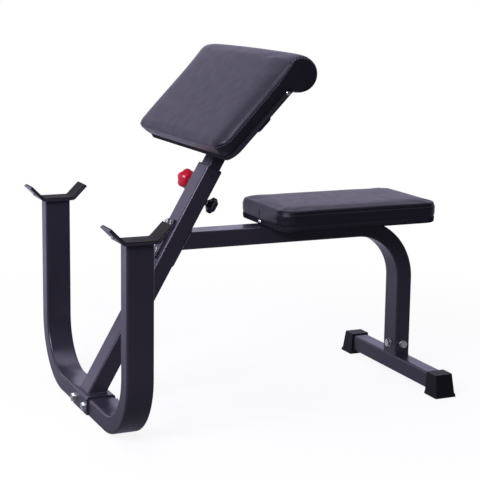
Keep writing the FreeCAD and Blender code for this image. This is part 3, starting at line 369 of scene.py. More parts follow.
# (inset, height) of the rings under the cover, up its side and over its edge
SEAT_BASE = ((108, 0), (80, 0), (45, 0), (16, 0), (6, 0), (2.9, 0))
SEAT_SIDE = ((2.5, 1.6), (2.1, 3.4), (1.8, 5.2), (1.6, 7.2), (1.5, 9.4), (1.4, 11.8), (1.3, 14.4),
             (1.2, 17.2), (1.2, 20.0), (1.2, 22.4))
SEAT_EDGE = ((1.2, 24.2), (1.2, 25.6), (1.2, 27.2), (1.2, 30.0), (1.5, 32.0), (2.4, 33.8), (3.9, 35.3),
             (5.7, 36.2), (7.7, 36.5))
SEAT_CREASES = {1: 1.2, 3: 1.6, 5: 1.4, 7: 0.7}   # side ring and depth


def seat_ring(inset, height, draw=0.0):
    """Ring of the seat's outline, drawn in between its corners. Point j lies across from its mirror."""
    half_x, half_y = SEAT_HALF_X - inset, SEAT_HALF_Y - inset
    corner = max(SEAT_CORNER - CORNER_SHRINK * inset, SEAT_CORNER_LEAST)
    flat_x, flat_y = half_x - corner, half_y - corner
    quarter = []
    for share in SEAT_SHARES:
        quarter.append((half_x - draw * (1 - share * share), flat_y * share))
    for i in range(1, SEAT_CORNER_STEPS):
        angle = math.radians(90 * i / SEAT_CORNER_STEPS)
        quarter.append((flat_x + corner * math.cos(angle), flat_y + corner * math.sin(angle)))
    for i in range(SEAT_SIDE_STEPS + 1):
        share = 1 - i / SEAT_SIDE_STEPS
        quarter.append((flat_x * share, half_y - draw * (1 - share * share)))
    upper = quarter + [(-x, y) for x, y in quarter[-2::-1]]
    lower = [(x, -y) for x, y in upper[-2:0:-1]]
    z = SEAT_LOW.z + height
    return [Vector((SEAT_MIDDLE.x + x, SEAT_MIDDLE.y + y, z)) for x, y in upper + lower]


def seat_cushion():
    """Cover of the seat, with a seam round its top edge and one up its front, and their stitches."""
    levels = [(inset, height, 0.0) for inset, height in SEAT_BASE]
    levels += [(inset, height, min(1.0, height / 12)) for inset, height in SEAT_SIDE + SEAT_EDGE]
    edge_inset, edge_height = SEAT_EDGE[-1]
    for i in range(1, SEAT_TOP_STEPS + 1):
        share = i / SEAT_TOP_STEPS
        inset = edge_inset + (SEAT_BASE[0][0] - edge_inset) * share ** 1.25
        levels.append((inset, edge_height + SEAT_CROWN * (1 - (1 - share) ** 3), 1 - share))
    rings = [seat_ring(inset, height, SEAT_DRAW * draw) for inset, height, draw in levels]
    count = len(rings[0])
    side = len(SEAT_BASE)
    seam = side + len(SEAT_SIDE)
    front = count // 2
    obj = face_outward(skin("seat_cover", rings))
    pinned = list(range((side + 1) * count)) + list(range(seam * count, (seam + 1) * count))
    swell(obj, pinned)
    depths = {seam * count + j: SEAT_SEAM_DEPTH for j in range(count)}
    for ring, depth in SEAT_CREASES.items():
        for j in range(count):
            depths[(side + ring) * count + j] = depth * max(0.0, 0.4 + 0.9 * wave(j * 0.07, ring))
    for ring in range(side, seam):
        depths[ring * count + front] = SEAT_UPRIGHT_DEPTH
    press(obj, depths)
    around = surface_line(obj, range((seam + 1) * count, (seam + 2) * count))
    upright = surface_line(obj, [ring * count + front + 1 for ring in range(side + 1, seam)])
    subdivide(obj)
    stations = walk(around, STITCH_STEP) + walk(upright, STITCH_STEP, closed=False)
    return obj, dashes("seat_stitches", stations, STITCH_LENGTH, SEAT_STITCH_RADIUS)


def seat_wrap():
    """Cover drawn round the seat board's edge and stapled under it."""
    top = SEAT_BOARD_HIGH.z - SEAT_LOW.z + WRAP_LAP
    bottom = SEAT_BOARD_LOW.z - SEAT_LOW.z
    out, under = BOARD_INSET - WRAP_THICK, bottom - WRAP_THICK
    section = [(out - 0.4, top), (out - 1.0, top - 1.2), (out - 1.1, top - 3.0), (out - 0.8, top - 6.0),
               (out - 0.4, bottom + 2.5), (out + 0.2, bottom + 0.4),
               (out + 1.6, under + 0.1), (out + 4, under), (BOARD_INSET + WRAP_FLANGE, under),
               (BOARD_INSET + WRAP_FLANGE, bottom - WRAP_GAP), (BOARD_INSET + 2, bottom - WRAP_GAP),
               (BOARD_INSET - WRAP_GAP, bottom + 1), (BOARD_INSET - WRAP_GAP, top)]
    obj = face_outward(skin("seat_wrap", [seat_ring(i, z) for i, z in section], "joined"))
    down = Vector((0, 0, -1))
    line = [(p + down * STAPLE_LIFT, down) for p in seat_ring(BOARD_INSET + SEAT_STAPLE_INSET, under)]
    return obj, dashes("seat_staples", walk(line, STAPLE_STEP), STAPLE_LENGTH, STAPLE_RADIUS)


# Arm pad

# The pad's outline starts at its front edge, runs along the top and round the roll, and ends at
# the board's edge. Distances along it are called u.
ROLL_MIDDLE = Vector((ROLL_ALONG, ROLL_UP))
ROLL_START = math.pi / 2 + math.atan((ROLL_UP + ROLL_RADIUS - PAD_TOP) / ROLL_ALONG)
ROLL_END = math.asin((ROLL_UP - PAD_LOW) / ROLL_RADIUS) - math.pi
TOP_RUN = (ROLL_ALONG + ROLL_RADIUS * math.cos(ROLL_START)) / math.sin(ROLL_START)
PAD_RUN = TOP_RUN + ROLL_RADIUS * (ROLL_START - ROLL_END)
NOTCH = ROLL_ALONG + ROLL_RADIUS * math.cos(ROLL_END)
CROWN_FADE = 2.0 * ROLL_RADIUS      # run over which the crown dies out round the roll
ROLL_STEPS, FLAT_STEPS, CORNER_STEPS, FRONT_STEPS = 90, 24, 12, 26
# Distance below the edge and lean towards the board, up the wall
PAD_WALL = ((PAD_DROP, 4.2), (36.4, 3.4), (34.6, 2.2), (32.4, 1.2), (29.6, 0.5), (26.2, 0.2),
            (22.8, 0.0), (19.8, 0.0), (17.4, 0.0), (15.8, 0.0), (14.4, 0.0))
PAD_SEAM = len(PAD_WALL) - 1
PAD_HELD_ROWS = 4                   # rows of the wall that stay put, from the board up
PAD_CREASES = {2: 0.6, 4: 0.4}      # wall row and depth
# Distance below the top and inset of the rows over the edge, at the two ends of the pad, and the
# shares of both that are left at the front and round the roll
PAD_EDGE = ((12.8, 0.4), (10.6, 1.1), (8.6, 2.0), (7.4, 2.8), (6.4, 4.2), (5.2, 6.8), (4.0, 10.6),
            (2.8, 16.0), (1.7, 24.0), (0.8, 36.0), (0.2, 50.0), (0.0, 66.0))
FRONT_EDGE = 0.3
ROLL_EDGE = 0.55
EDGE_CHANGE = 90.0                  # run over which the edge's size changes towards the roll
EDGE_CHANGE_PAST = 20.0             # how far round the roll that ends
FRONT_LEAN = 0.55                   # share of the lean at the front
LEAN_RUN = 14.0                     # run over which the lean starts at the notch
INSET_STEPS = 18                    # steps over which the inset starts under the roll
FRONT_GROOVE = ((PAD_SEAM - 1, 1.2), (PAD_SEAM, 3.0), (PAD_SEAM + 1, 1.8))   # row and depth
# (inset, lean, down) of the rows up the wall and over the edge
PAD_LEVELS = [(0.0, lean, down) for down, lean in PAD_WALL]
PAD_LEVELS += [(inset, 0.0, down) for down, inset in PAD_EDGE]


def drawn_up(down, share):
    """Distance below the top where a share of the edge's size is left, with the seam drawn up to it."""
    seam = PAD_WALL[PAD_SEAM][0]
    if down < seam:
        return down * share
    return PAD_DROP - (PAD_DROP - down) * (PAD_DROP - seam * share) / (PAD_DROP - seam)


def end_share(u):
    """Share of the edge's size along one end of the pad, which is less round the roll."""
    near = min(1.0, max(0.0, (TOP_RUN + EDGE_CHANGE_PAST - u) / EDGE_CHANGE))
    return ROLL_EDGE + (1 - ROLL_EDGE) * near * near * (3 - 2 * near)


def notch_place(down):
    """Place along the top that lies over a row's end at the notch between roll and board."""
    share = drawn_up(down, ROLL_EDGE) / PAD_DROP
    return (NOTCH + (ROLL_ALONG - NOTCH) * share) / math.sin(ROLL_START)


NOTCH_PLACES = [notch_place(down) for _, _, down in PAD_LEVELS[1:]]
# Points of a row at the notch's end and at the middle of the corner
NOTCH_AT = ROLL_STEPS + len(NOTCH_PLACES) - 1
CORNER_AT = NOTCH_AT + FLAT_STEPS + CORNER_STEPS // 2


def pad_path(u):
    """Place on the pad's outline, and the direction out of it."""
    if u < TOP_RUN:
        out = Vector((math.cos(ROLL_START), math.sin(ROLL_START)))
        return Vector((0.0, PAD_TOP)) + Vector((out.y, -out.x)) * u, out
    angle = ROLL_START - (u - TOP_RUN) / ROLL_RADIUS
    out = Vector((math.cos(angle), math.sin(angle)))
    return ROLL_MIDDLE + out * ROLL_RADIUS, out


def on_pad(u, y, down):
    """Point of the cover, a distance down from the edge at a place along the outline."""
    place, out = pad_path(u)
    foot = Vector((place.x if u < TOP_RUN else ROLL_ALONG, PAD_LOW))
    rise = u / TOP_RUN if u < TOP_RUN else max(0.0, 1 - (u - TOP_RUN) / CROWN_FADE)
    crown = PAD_CROWN * math.sin(math.pi / 2 * rise) ** 2 * (1 - PAD_CROWN_LOSS * (y / PAD_SIDE) ** 2)
    point = place.lerp(foot, down / PAD_DROP) + out * (crown * max(0.0, 1 - down / PAD_EDGE[0][0]))
    return PAD @ Vector((point.x, y, point.y))


def half_outline(inset, lean, down):
    """(u, y, down) from the notch under the roll, along one end and round the corner to the middle."""
    side = PAD_SIDE - SNUG
    front = SNUG + inset * FRONT_EDGE + FRONT_LEAN * lean
    corner = max(PAD_CORNER - CORNER_SHRINK * inset, PAD_CORNER_LEAST)
    start = NOTCH_PLACES[-1]
    ends = [PAD_RUN + (TOP_RUN - PAD_RUN) * i / ROLL_STEPS for i in range(ROLL_STEPS)]
    ends += NOTCH_PLACES
    ends += [start + (front + corner - start) * i / FLAT_STEPS for i in range(1, FLAT_STEPS)]
    points = []
    for i, u in enumerate(ends):
        share = end_share(u)
        straight = share + (1 - share) * inset / PAD_EDGE[-1][1]
        drawn_in = inset * straight * min(1.0, i / INSET_STEPS)
        drawn_in += lean * min(1.0, max(0.0, start - u) / LEAN_RUN)
        points.append((u, side - drawn_in, drawn_up(down, share)))
    side -= inset + lean
    for i in range(CORNER_STEPS + 1):
        angle = math.pi / 2 * i / CORNER_STEPS
        u, y = front + corner * (1 - math.sin(angle)), side - corner * (1 - math.cos(angle))
        points.append((u, y, drawn_up(down, 1 - (1 - FRONT_EDGE) * i / CORNER_STEPS)))
    for i in range(1, FRONT_STEPS + 1):
        points.append((front, (side - corner) * (1 - i / FRONT_STEPS), drawn_up(down, FRONT_EDGE)))
    return points


def mirrored(half):
    """Outline of both halves, from one end of the pad to the other."""
    return half + [(u, -y, down) for u, y, down in half[-2::-1]]


def panel(half, first, down, spread=None):
    """Grid inside an outline, from one of its points to the front, and its shares across the front."""
    side, front = half[first:CORNER_AT + 1], mirrored(half[CORNER_AT:])
    last_u, last_y = side[-1][:2]
    shares = [y / last_y for _, y, _ in front]
    rows = []
    for u, y, _ in side:
        near = (side[0][0] - u) / (side[0][0] - last_u)
        row = []
        for (front_u, front_y, _), at_front, at_first in zip(front, shares, spread or shares):
            share = at_first + (at_front - at_first) * near
            row.append(on_pad(u + near * (front_u - last_u), y * share, down))
        rows.append(row)
    return rows, shares


JOIN_WITHIN = 0.03


def quilt(name, patches):
    """Mesh over grids of points, joined where they meet, and the vertex numbers of each grid."""
    points = [p for patch in patches for row in patch for p in row]
    tree = KDTree(len(points))
    for i, p in enumerate(points):
        tree.insert(p, i)
    tree.balance()
    first = [min(found[1] for found in tree.find_range(p, JOIN_WITHIN)) for p in points]
    kept = sorted(set(first))
    number = {old: new for new, old in enumerate(kept)}
    at, grids, faces = 0, [], []
    for patch in patches:
        grid = []
        for row in patch:
            grid.append([number[i] for i in first[at:at + len(row)]])
            at += len(row)
        grids.append(grid)
        for low, high in zip(grid, grid[1:]):
            for j in range(len(low) - 1):
                corners = tuple(dict.fromkeys((low[j], low[j + 1], high[j + 1], high[j])))
                if len(corners) > 2:
                    faces.append(corners)
    return add_mesh(name, [points[i] for i in kept], faces), grids


# Gathers round the top of the roll's ends: their depth by row, from the row under the seam, the
# middle and half width of their run as shares of the roll, and their fold from point to point
GATHERS = (0.8, 1.6, 2.4, 2.8, 2.8, 2.6, 2.2, 1.6, 0.9)
GATHER_MIDDLE, GATHER_WIDTH = 0.14, 0.12
GATHER_FOLD = (1.0, 0.3, 0.0, 0.3)


def gathered(j):
    """Share of the gathers' depth at a point of the wall's rows."""
    turn = 1 - j / ROLL_STEPS
    strength = max(0.0, min(1.0, 1.6 - abs(turn - GATHER_MIDDLE) / GATHER_WIDTH))
    return strength * GATHER_FOLD[j % len(GATHER_FOLD)]


def arm_cushion():
    """Cover of the arm pad, with a seam round its ends and front, and its stitches."""
    outlines = [half_outline(*level) for level in PAD_LEVELS]
    wall = [[on_pad(*place) for place in mirrored(half)] for half in outlines]
    top, shares = panel(outlines[-1], 0, 0.0)
    base = panel(outlines[0], NOTCH_AT, PAD_DROP, shares)[0]
    obj, (base, wall, top) = quilt("arm_cover", [base, wall, [row[::-1] for row in top]])
    face_outward(obj)
    pinned = {i for row in base + wall[:PAD_HELD_ROWS] + [wall[PAD_SEAM], top[0]] for i in row}
    swell(obj, pinned)
    seam = wall[PAD_SEAM]
    count = len(seam)
    depths = {i: PAD_SEAM_DEPTH for i in seam[ROLL_STEPS:count - ROLL_STEPS]}
    for row, depth in FRONT_GROOVE:
        depths.update({i: depth for i in wall[row][CORNER_AT:count - CORNER_AT]})
    for row, depth in PAD_CREASES.items():
        for j in range(NOTCH_AT + 3, count - NOTCH_AT - 3):
            depths[wall[row][j]] = depth * max(0.0, 0.5 + 0.8 * wave(j * 0.08, row))
    for row, depth in enumerate(GATHERS, PAD_SEAM - 1):
        for j in range(ROLL_STEPS):
            for end in (j, count - 1 - j):
                depths[wall[row][end]] = depth * gathered(j)
    press(obj, depths)
    line = surface_line(obj, wall[PAD_SEAM - 1][ROLL_STEPS - 2:count - ROLL_STEPS + 2])
    subdivide(obj)
    stations = walk(line, STITCH_STEP, closed=False)
    return obj, dashes("arm_stitches", stations, STITCH_LENGTH, STITCH_RADIUS)


BOARD_BACK_STEPS, BOARD_SIDE_STEPS, BOARD_CORNER_STEPS, BOARD_FRONT_STEPS = 30, 40, 12, 20


def pad_board_ring(inset, up):
    """Ring of the arm board's outline. Its inset stays small where the cross bar lies on the board."""
    low, high, side, corner = PAD_BOARD_START, PAD_BOARD_END, PAD_BOARD_SIDE, PAD_BOARD_CORNER
    half = []
    for i in range(BOARD_BACK_STEPS + 1):
        half.append((high - inset, (side - inset) * i / BOARD_BACK_STEPS))
    for i in range(1, BOARD_SIDE_STEPS):
        t = high - (high - low - corner) * i / BOARD_SIDE_STEPS
        sink = min(inset, 1.0) if CROSS_BAR[0] < t < CROSS_BAR[1] else inset
        half.append((min(t, high - inset), side - sink))
    reach = corner - inset
    for i in range(BOARD_CORNER_STEPS + 1):
        angle = math.radians(90 + 90 * i / BOARD_CORNER_STEPS)
        half.append((low + corner + reach * math.cos(angle), side - corner + reach * math.sin(angle)))
    for i in range(1, BOARD_FRONT_STEPS + 1):
        half.append((low + inset, (side - corner) * (1 - i / BOARD_FRONT_STEPS)))
    loop = half + [(t, -y) for t, y in half[-2:0:-1]]
    return [PAD @ Vector((t, y, up)) for t, y in loop]


def arm_wrap():
    """Cover drawn round the arm board's edge and stapled under it."""
    top, out, under = PAD_BOARD + WRAP_LAP, -WRAP_THICK, -WRAP_THICK
    section = [(out + 0.7, top), (out + 0.2, top - 0.8), (out - 0.4, top - 3), (out - 1.2, top - 6),
               (out - 2.0, 3.0), (out - 2.2, 1.6), (out - 1.6, 0.2), (out - 0.2, -0.5),
               (out + 1.8, under), (out + 6, under), (WRAP_FLANGE, under),
               (WRAP_FLANGE, -WRAP_GAP), (2, -WRAP_GAP), (-WRAP_GAP, 1), (-WRAP_GAP, top)]
    obj = face_outward(skin("arm_wrap", [pad_board_ring(i, n) for i, n in section], "joined"))
    down = PAD.to_3x3() @ Vector((0, 0, -1))
    line = [(p + down * STAPLE_LIFT, down) for p in pad_board_ring(PAD_STAPLE_INSET, under)]
    clear = []
    for place, along, normal in walk(line, STAPLE_STEP):
        t = (PAD.inverted() @ place).x
        if not CROSS_BAR[0] - CROSS_BAR_CLEAR < t < CROSS_BAR[1] + CROSS_BAR_CLEAR:
            clear.append((place, along, normal))
    return obj, dashes("arm_staples", clear, STAPLE_LENGTH, STAPLE_RADIUS)


# Welds

def flat_path(placement, half_a, half_b, corner, grow):
    """Path round a rounded rectangle in a placement's XY plane, with normals between up and out."""
    path = []
    for point, out in rounded_rectangle(half_a + grow, half_b + grow, corner + grow):
        place = placement @ Vector((point.x, point.y, 0))
        normal = placement.to_3x3() @ Vector((out.x, out.y, 1)).normalized()
        path.append((place, normal))
    return path


def welds():
    """Beads round the tubes' ends, and round the barrel and the nut on the post."""
    wide, deep = TUBE_WIDE / 2, TUBE_DEEP / 2
    sloped = deep / math.cos(POST_TILT)
    back = Matrix.Rotation(math.pi / 2, 4, "Y")
    aside = Matrix.Rotation(-math.pi / 2, 4, "X")
    beam_face = POST @ Matrix.Translation((deep, 0, BEAM_ALONG)) @ back
    barrel_face = POST @ Matrix.Translation((0, wide, PIN_ALONG)) @ aside
    clamp_face = POST @ Matrix.Translation((deep, 0, CLAMP_ALONG)) @ back
    beads = [
        weld("weld_post_foot", flat_path(POST_FOOT, sloped, wide, TUBE_CORNER, 0.4), 2.6),
        weld("weld_beam", flat_path(beam_face, sloped, wide - 4, TUBE_CORNER, 0.2), 2.4),
        weld("weld_barrel", flat_path(barrel_face, ROUND_BASE, ROUND_BASE, ROUND_BASE, 0.2), 1.7),
        weld("weld_clamp_nut", flat_path(clamp_face, ROUND_BASE, ROUND_BASE, ROUND_BASE, 0.4), 1.5),
    ]
    for name, y in (("left", U_LOW.y + deep), ("right", U_HIGH.y - deep)):
        top = Matrix.Translation((U_X, y, U_HIGH.z - 0.4)) @ Matrix.Rotation(math.pi, 4, "X")
        beads.append(weld("weld_cradle_" + name, flat_path(top, wide, deep, TUBE_CORNER, 0.2), 2.0))
    bar_low, bar_high = box_of("rear_crossbar")
    stub = Matrix.Translation(((bar_low.x + bar_high.x) / 2, 0, bar_high.z))
    beads.append(weld("weld_leg", flat_path(stub, deep, wide, TUBE_CORNER, -0.6), 1.4))
    return beads


# Knobs

KNOB_SIDES = 96
KNOB_LOBES = 6
# (share of the length, radius) along the pull knob, and (radius, height) along the clamp knob
PULL_KNOB = ((0.0, 9.0), (0.004, 13.6), (0.03, 15.2), (0.10, 17.8), (0.2, 20.6), (0.32, 23.0),
             (0.46, 24.6), (0.6, 25.0), (0.74, 24.8), (0.85, 23.7), (0.93, 21.8), (0.975, 19.6),
             (0.99, 17.4), (0.985, 14.5), (0.975, 11.0), (0.97, 4.0))
CLAMP_KNOB = ((5.4, 0.0), (8.6, 0.0), (9.0, 0.4), (9.0, 6.0), (9.6, 6.8), (15.8, 7.0), (17.6, 7.6),
              (18.6, 8.8), (19.0, 11.0), (19.0, 15.5), (18.5, 17.6), (17.2, 19.0), (15.4, 19.8),
              (12.0, 19.9), (11.2, 19.4), (3.0, 19.4))


def between_lobes(angle):
    """Runs from 0 on a knob's lobes to 1 between them."""
    return 0.5 - 0.5 * math.cos(KNOB_LOBES * angle)


def pull_knob():
    low, high = box_of("pull_knob")
    length = high.y - low.y
    place = Matrix.Translation(POST @ Vector((0, low.y, PIN_ALONG)))
    place = place @ Matrix.Rotation(-math.pi / 2, 4, "X") @ Matrix.Rotation(POST_TILT, 4, "Z")

    def flute(angle, height):
        rise = min(1.0, max(0.0, height / length / 0.3))
        return 1 - 0.11 * rise * between_lobes(angle) ** 1.2

    profile = [(radius, length * share) for share, radius in PULL_KNOB]
    return turned("pull_knob_grip", profile, KNOB_SIDES, place, flute)


def clamp_knob():
    start = POST @ Vector((TUBE_DEEP / 2 + CLAMP_BACK, 0, CLAMP_ALONG))
    place = Matrix.Translation(start) @ Matrix.Rotation(POST_TILT + math.pi / 2, 4, "Y")

    def flute(angle, height):
        rim = min(1.0, max(0.0, (height - 6.8) / 0.8))
        return 1 - 0.13 * rim * between_lobes(angle) ** 1.6

    return turned("clamp_knob_grip", CLAMP_KNOB, KNOB_SIDES, place, flute)


# Finishes

class Nodes:
    """Small builder for a shader tree."""

    def __init__(self, owner):
        owner.use_nodes = True
        self.tree = owner.node_tree

    def node(self, kind, **values):
        made = self.tree.nodes.new(kind)
        for key, value in values.items():
            setattr(made, key, value)
        return made

    def link(self, source, target):
        self.tree.links.new(source, target)

    def remap(self, source, low, high, to_low, to_high):
        made = self.node("ShaderNodeMapRange")
        self.link(source, made.inputs["Value"])
        for key, value in (("From Min", low), ("From Max", high), ("To Min", to_low), ("To Max", to_high)):
            made.inputs[key].default_value = value
        return made.outputs["Result"]

    def ramp(self, source, stops):
        """Value that runs through (source value, value) stops."""
        low, high = stops[0][0], stops[-1][0]
        made = self.node("ShaderNodeValToRGB")
        self.link(self.remap(source, low, high, 0.0, 1.0), made.inputs["Fac"])
        marks = made.color_ramp.elements
        for place, _ in stops[1:-1]:
            marks.new((place - low) / (high - low))
        for mark, (_, value) in zip(marks, stops):
            mark.color = (value, value, value, 1.0)
        return made.outputs["Color"]

    def mixed(self, share, first, second):
        """One of two shaders, by a share of the second."""
        made = self.node("ShaderNodeMixShader")
        self.link(share, made.inputs["Fac"])
        self.link(first, made.inputs[1])
        self.link(second, made.inputs[2])
        return made.outputs["Shader"]


class Finish(Nodes):
    """Small builder for a procedural material."""

    def __init__(self, name):
        self.material = bpy.data.materials.new(name)
        super().__init__(self.material)
        self.shader = self.tree.nodes["Principled BSDF"]
        self.place = self.node("ShaderNodeTexCoord").outputs["Object"]

    def noise(self, scale, detail=4.0, roughness=0.55):
        made = self.node("ShaderNodeTexNoise")
        self.link(self.place, made.inputs["Vector"])
        made.inputs["Scale"].default_value = scale
        made.inputs["Detail"].default_value = detail
        made.inputs["Roughness"].default_value = roughness
        return made.outputs["Fac"]

    def cells(self, scale):
        made = self.node("ShaderNodeTexVoronoi", feature="SMOOTH_F1")
        self.link(self.place, made.inputs["Vector"])
        made.inputs["Scale"].default_value = scale
        made.inputs["Smoothness"].default_value = 0.6
        return made.outputs["Distance"]

    def blend(self, share, first, second):
        """One of two colours, each a tuple or a socket, by a share of the second."""
        made = self.node("ShaderNodeMix", data_type="RGBA")
        self.link(share, made.inputs["Factor"])
        for key, value in (("A", first), ("B", second)):
            socket = [s for s in made.inputs if s.name == key and s.type == "RGBA"][0]
            if isinstance(value, tuple):
                socket.default_value = (*value, 1.0)
            else:
                self.link(value, socket)
        return [s for s in made.outputs if s.type == "RGBA"][0]

    def softened(self, radius):
        """Normal that is rounded off at the edges."""
        soft = self.node("ShaderNodeBevel", samples=4)
        soft.inputs["Radius"].default_value = radius
        return soft.outputs["Normal"]

    def edges(self, softened):
        """Mask that is 1 where a softened normal leaves the surface's own."""
        dot = self.node("ShaderNodeVectorMath", operation="DOT_PRODUCT")
        self.link(softened, dot.inputs[0])
        self.link(self.node("ShaderNodeNewGeometry").outputs["Normal"], dot.inputs[1])
        return self.remap(dot.outputs["Value"], 0.995, 0.85, 0.0, 1.0)

    def bump(self, height, strength, distance, normal=None):
        made = self.node("ShaderNodeBump")
        self.link(height, made.inputs["Height"])
        made.inputs["Strength"].default_value = strength
        made.inputs["Distance"].default_value = distance
        if normal is not None:
            self.link(normal, made.inputs["Normal"])
        return made.outputs["Normal"]

    def set(self, **values):
        """Sets or links the shader's own sockets."""
        for key, value in values.items():
            socket = self.shader.inputs[key.replace("_", " ")]
            if hasattr(value, "is_output"):
                self.link(value, socket)
            else:
                socket.default_value = (*value, 1.0) if isinstance(value, tuple) else value


def powder_coat():
    f = Finish("powder_coat")
    normal = f.softened(0.0012)
    body = f.blend(f.noise(7), (0.020, 0.0185, 0.025), (0.027, 0.025, 0.033))
    fleck = f.blend(f.remap(f.noise(2400, 2), 0.60, 0.75, 0.0, 0.5), body, (0.05, 0.047, 0.056))
    # Edges are painted lighter through the edge mask: partly edge wear, partly a painted highlight along
    # the edges.
    edge_wear_and_highlight = f.blend(f.remap(f.edges(normal), 0.0, 1.0, 0.0, 0.4), fleck, (0.07, 0.067, 0.077))
    grain = f.bump(f.noise(1150, 3), 0.10, 0.0004, normal)
    f.set(Base_Color=edge_wear_and_highlight, Roughness=f.remap(f.noise(24), 0.3, 0.7, 0.24, 0.33), Normal=grain)
    return f.material


def leatherette():
    f = Finish("leatherette")
    body = f.blend(f.noise(9), (0.0085, 0.0078, 0.0110), (0.0105, 0.0096, 0.0135))
    grain = f.bump(f.cells(620), 0.20, 0.0004)
    grain = f.bump(f.noise(18, 3, 0.5), 0.02, 0.002, grain)
    f.set(Base_Color=body, Roughness=f.remap(f.noise(40), 0.3, 0.7, 0.37, 0.45), Normal=grain)
    f.set(Specular_IOR_Level=0.36)
    return f.material


def metal(name, dark, light, roughness, radius):
    f = Finish(name)
    body = f.blend(f.noise(160), dark, light)
    brushed = f.bump(f.noise(900, 2), 0.08, 0.0002, f.softened(radius))
    f.set(Base_Color=body, Metallic=1.0, Normal=brushed)
    f.set(Roughness=f.remap(f.noise(220), 0.3, 0.7, roughness - 0.07, roughness + 0.08))
    return f.material


def plastic(name, dark, light, roughness, grain, radius, gloss=0.5):
    f = Finish(name)
    body = f.blend(f.noise(30), dark, light)
    f.set(Base_Color=body, Normal=f.bump(f.noise(1400, 2), grain, 0.0003, f.softened(radius)))
    f.set(Roughness=f.remap(f.noise(50), 0.3, 0.7, roughness - 0.05, roughness + 0.06))
    f.set(Specular_IOR_Level=gloss)
    return f.material


def backing_cloth():
    """Matt woven back of the cover, where it is turned round the boards."""
    f = Finish("backing_cloth")
    weave = f.noise(1500, 3, 0.7)
    body = f.blend(weave, (0.013, 0.012, 0.015), (0.026, 0.024, 0.029))
    f.set(Base_Color=body, Normal=f.bump(weave, 0.4, 0.0004))
    f.set(Roughness=0.9, Specular_IOR_Level=0.12)
    return f.material


def stained_board():
    f = Finish("board")
    stretch = f.node("ShaderNodeMapping")
    f.link(f.place, stretch.inputs["Vector"])
    stretch.inputs["Scale"].default_value = (0.15, 1.0, 1.0)
    f.place = stretch.outputs["Vector"]
    fibre = f.noise(380, 6, 0.7)
    body = f.blend(fibre, (0.045, 0.032, 0.022), (0.10, 0.072, 0.05))
    f.set(Base_Color=body, Roughness=0.75, Normal=f.bump(fibre, 0.3, 0.0006))
    return f.material


FINISHES = {
    "powder_coat": powder_coat(),
    "vinyl": leatherette(),
    "backing_cloth": backing_cloth(),
    "zinc": metal("zinc", (0.64, 0.71, 0.62), (0.80, 0.87, 0.76), 0.28, 0.0005),
    "chrome_trim": metal("chrome", (0.70, 0.71, 0.72), (0.78, 0.79, 0.80), 0.16, 0.0004),
    "black_plastic": plastic("black_plastic", (0.004, 0.004, 0.005), (0.008, 0.008, 0.009),
                             0.50, 0.22, 0.0010, 0.2),
    "knob_plastic": plastic("knob_plastic", (0.013, 0.0125, 0.016), (0.019, 0.018, 0.023),
                            0.48, 0.05, 0.0010, 0.4),
    "red_plastic": plastic("red_plastic", (0.50, 0.010, 0.020), (0.56, 0.014, 0.026),
                           0.24, 0.05, 0.0006),
    "liner_rubber": plastic("liner_rubber", (0.011, 0.0100, 0.0075), (0.018, 0.0165, 0.013),
                            0.66, 0.35, 0.0008, 0.12),
    "board": stained_board(),
    "thread": plastic("thread", (0.075, 0.072, 0.085), (0.105, 0.10, 0.115), 0.55, 0.4, 0.0002),
}
# CAD nodes by finish; the others are powder coated
NODE_FINISHES = {
    "zinc": ("saddle_bolts", "saddle_nuts", "saddle_washers", "beam_studs", "beam_nuts", "beam_washers",
             "leg_bolts", "leg_nuts", "leg_washers", "bracket_bolts", "bracket_nuts", "bracket_washers",
             "cradle_rivets", "seat_screws", "arm_screws", "pull_pin", "pin_spring", "clamp_stud",
             "clamp_pad"),
    "chrome_trim": ("seat_cover_screw", "arm_cover_screws"),
    "black_plastic": ("foot_cap_left", "foot_cap_right", "column_top_plug", "column_bottom_plug"),
    "knob_plastic": ("post_bush",),
    "liner_rubber": ("cradle_liner_left", "cradle_liner_right"),
    "board": ("seat_board", "arm_board"),
}


def finish_of(node):
    for finish, names in NODE_FINISHES.items():
        if node in names:
            return finish
    return "powder_coat"


def paint(obj, finish):
    obj.data.materials.clear()
    obj.data.materials.append(FINISHES[finish])


def put(obj, finish, body, *stands_for, slot=None):
    """Gives a new piece its finish and its body, and hides the CAD nodes that it stands for."""
    paint(obj, finish)
    if stands_for:
        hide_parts(*stands_for)
    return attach(obj, body)


# The bench

def dress():
    for name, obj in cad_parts.items():
        paint(obj, finish_of(name))
    seat, seat_stitches = seat_cushion()
    put(seat, "vinyl", "frame", "seat_cushion")
    put(seat_stitches, "thread", "frame", slot="vinyl")
    arm, arm_stitches = arm_cushion()
    put(arm, "vinyl", "arm_rest", "arm_cushion")
    put(arm_stitches, "thread", "arm_rest", slot="vinyl")
    for (wrap, staples), body in ((seat_wrap(), "frame"), (arm_wrap(), "arm_rest")):
        put(wrap, "backing_cloth", body, slot="vinyl")
        put(staples, "zinc", body)
    for bead in welds():
        put(bead, "powder_coat", "frame")
    put(pull_knob(), "red_plastic", "pull_pin", "pull_knob")
    put(clamp_knob(), "knob_plastic", "clamp_screw", "clamp_knob", slot="black_plastic")


# Studio

STUDIO_TINT = (0.79, 0.735, 1.0, 1.0)
FLOOR_HALF = 60.0
FLOOR_DROP = 0.0004
# How white the camera sees the floor, by distance from the bench. The rest of it shows the shadow.
FLOOR_WHITE = ((0.0, 0.86), (0.6, 0.90), (1.6, 1.0))
# Brightness by place along Y on the floor, and by direction along Y in the world
FLOOR_SHEEN = ((-4.0, 0.08), (-1.2, 0.20), (-0.2, 0.30), (1.6, 1.0))
STUDIO_GLOW = ((-0.5, 0.11), (0.1, 0.36), (0.45, 0.64), (0.7, 0.9), (0.9, 1.15), (1.0, 1.2))
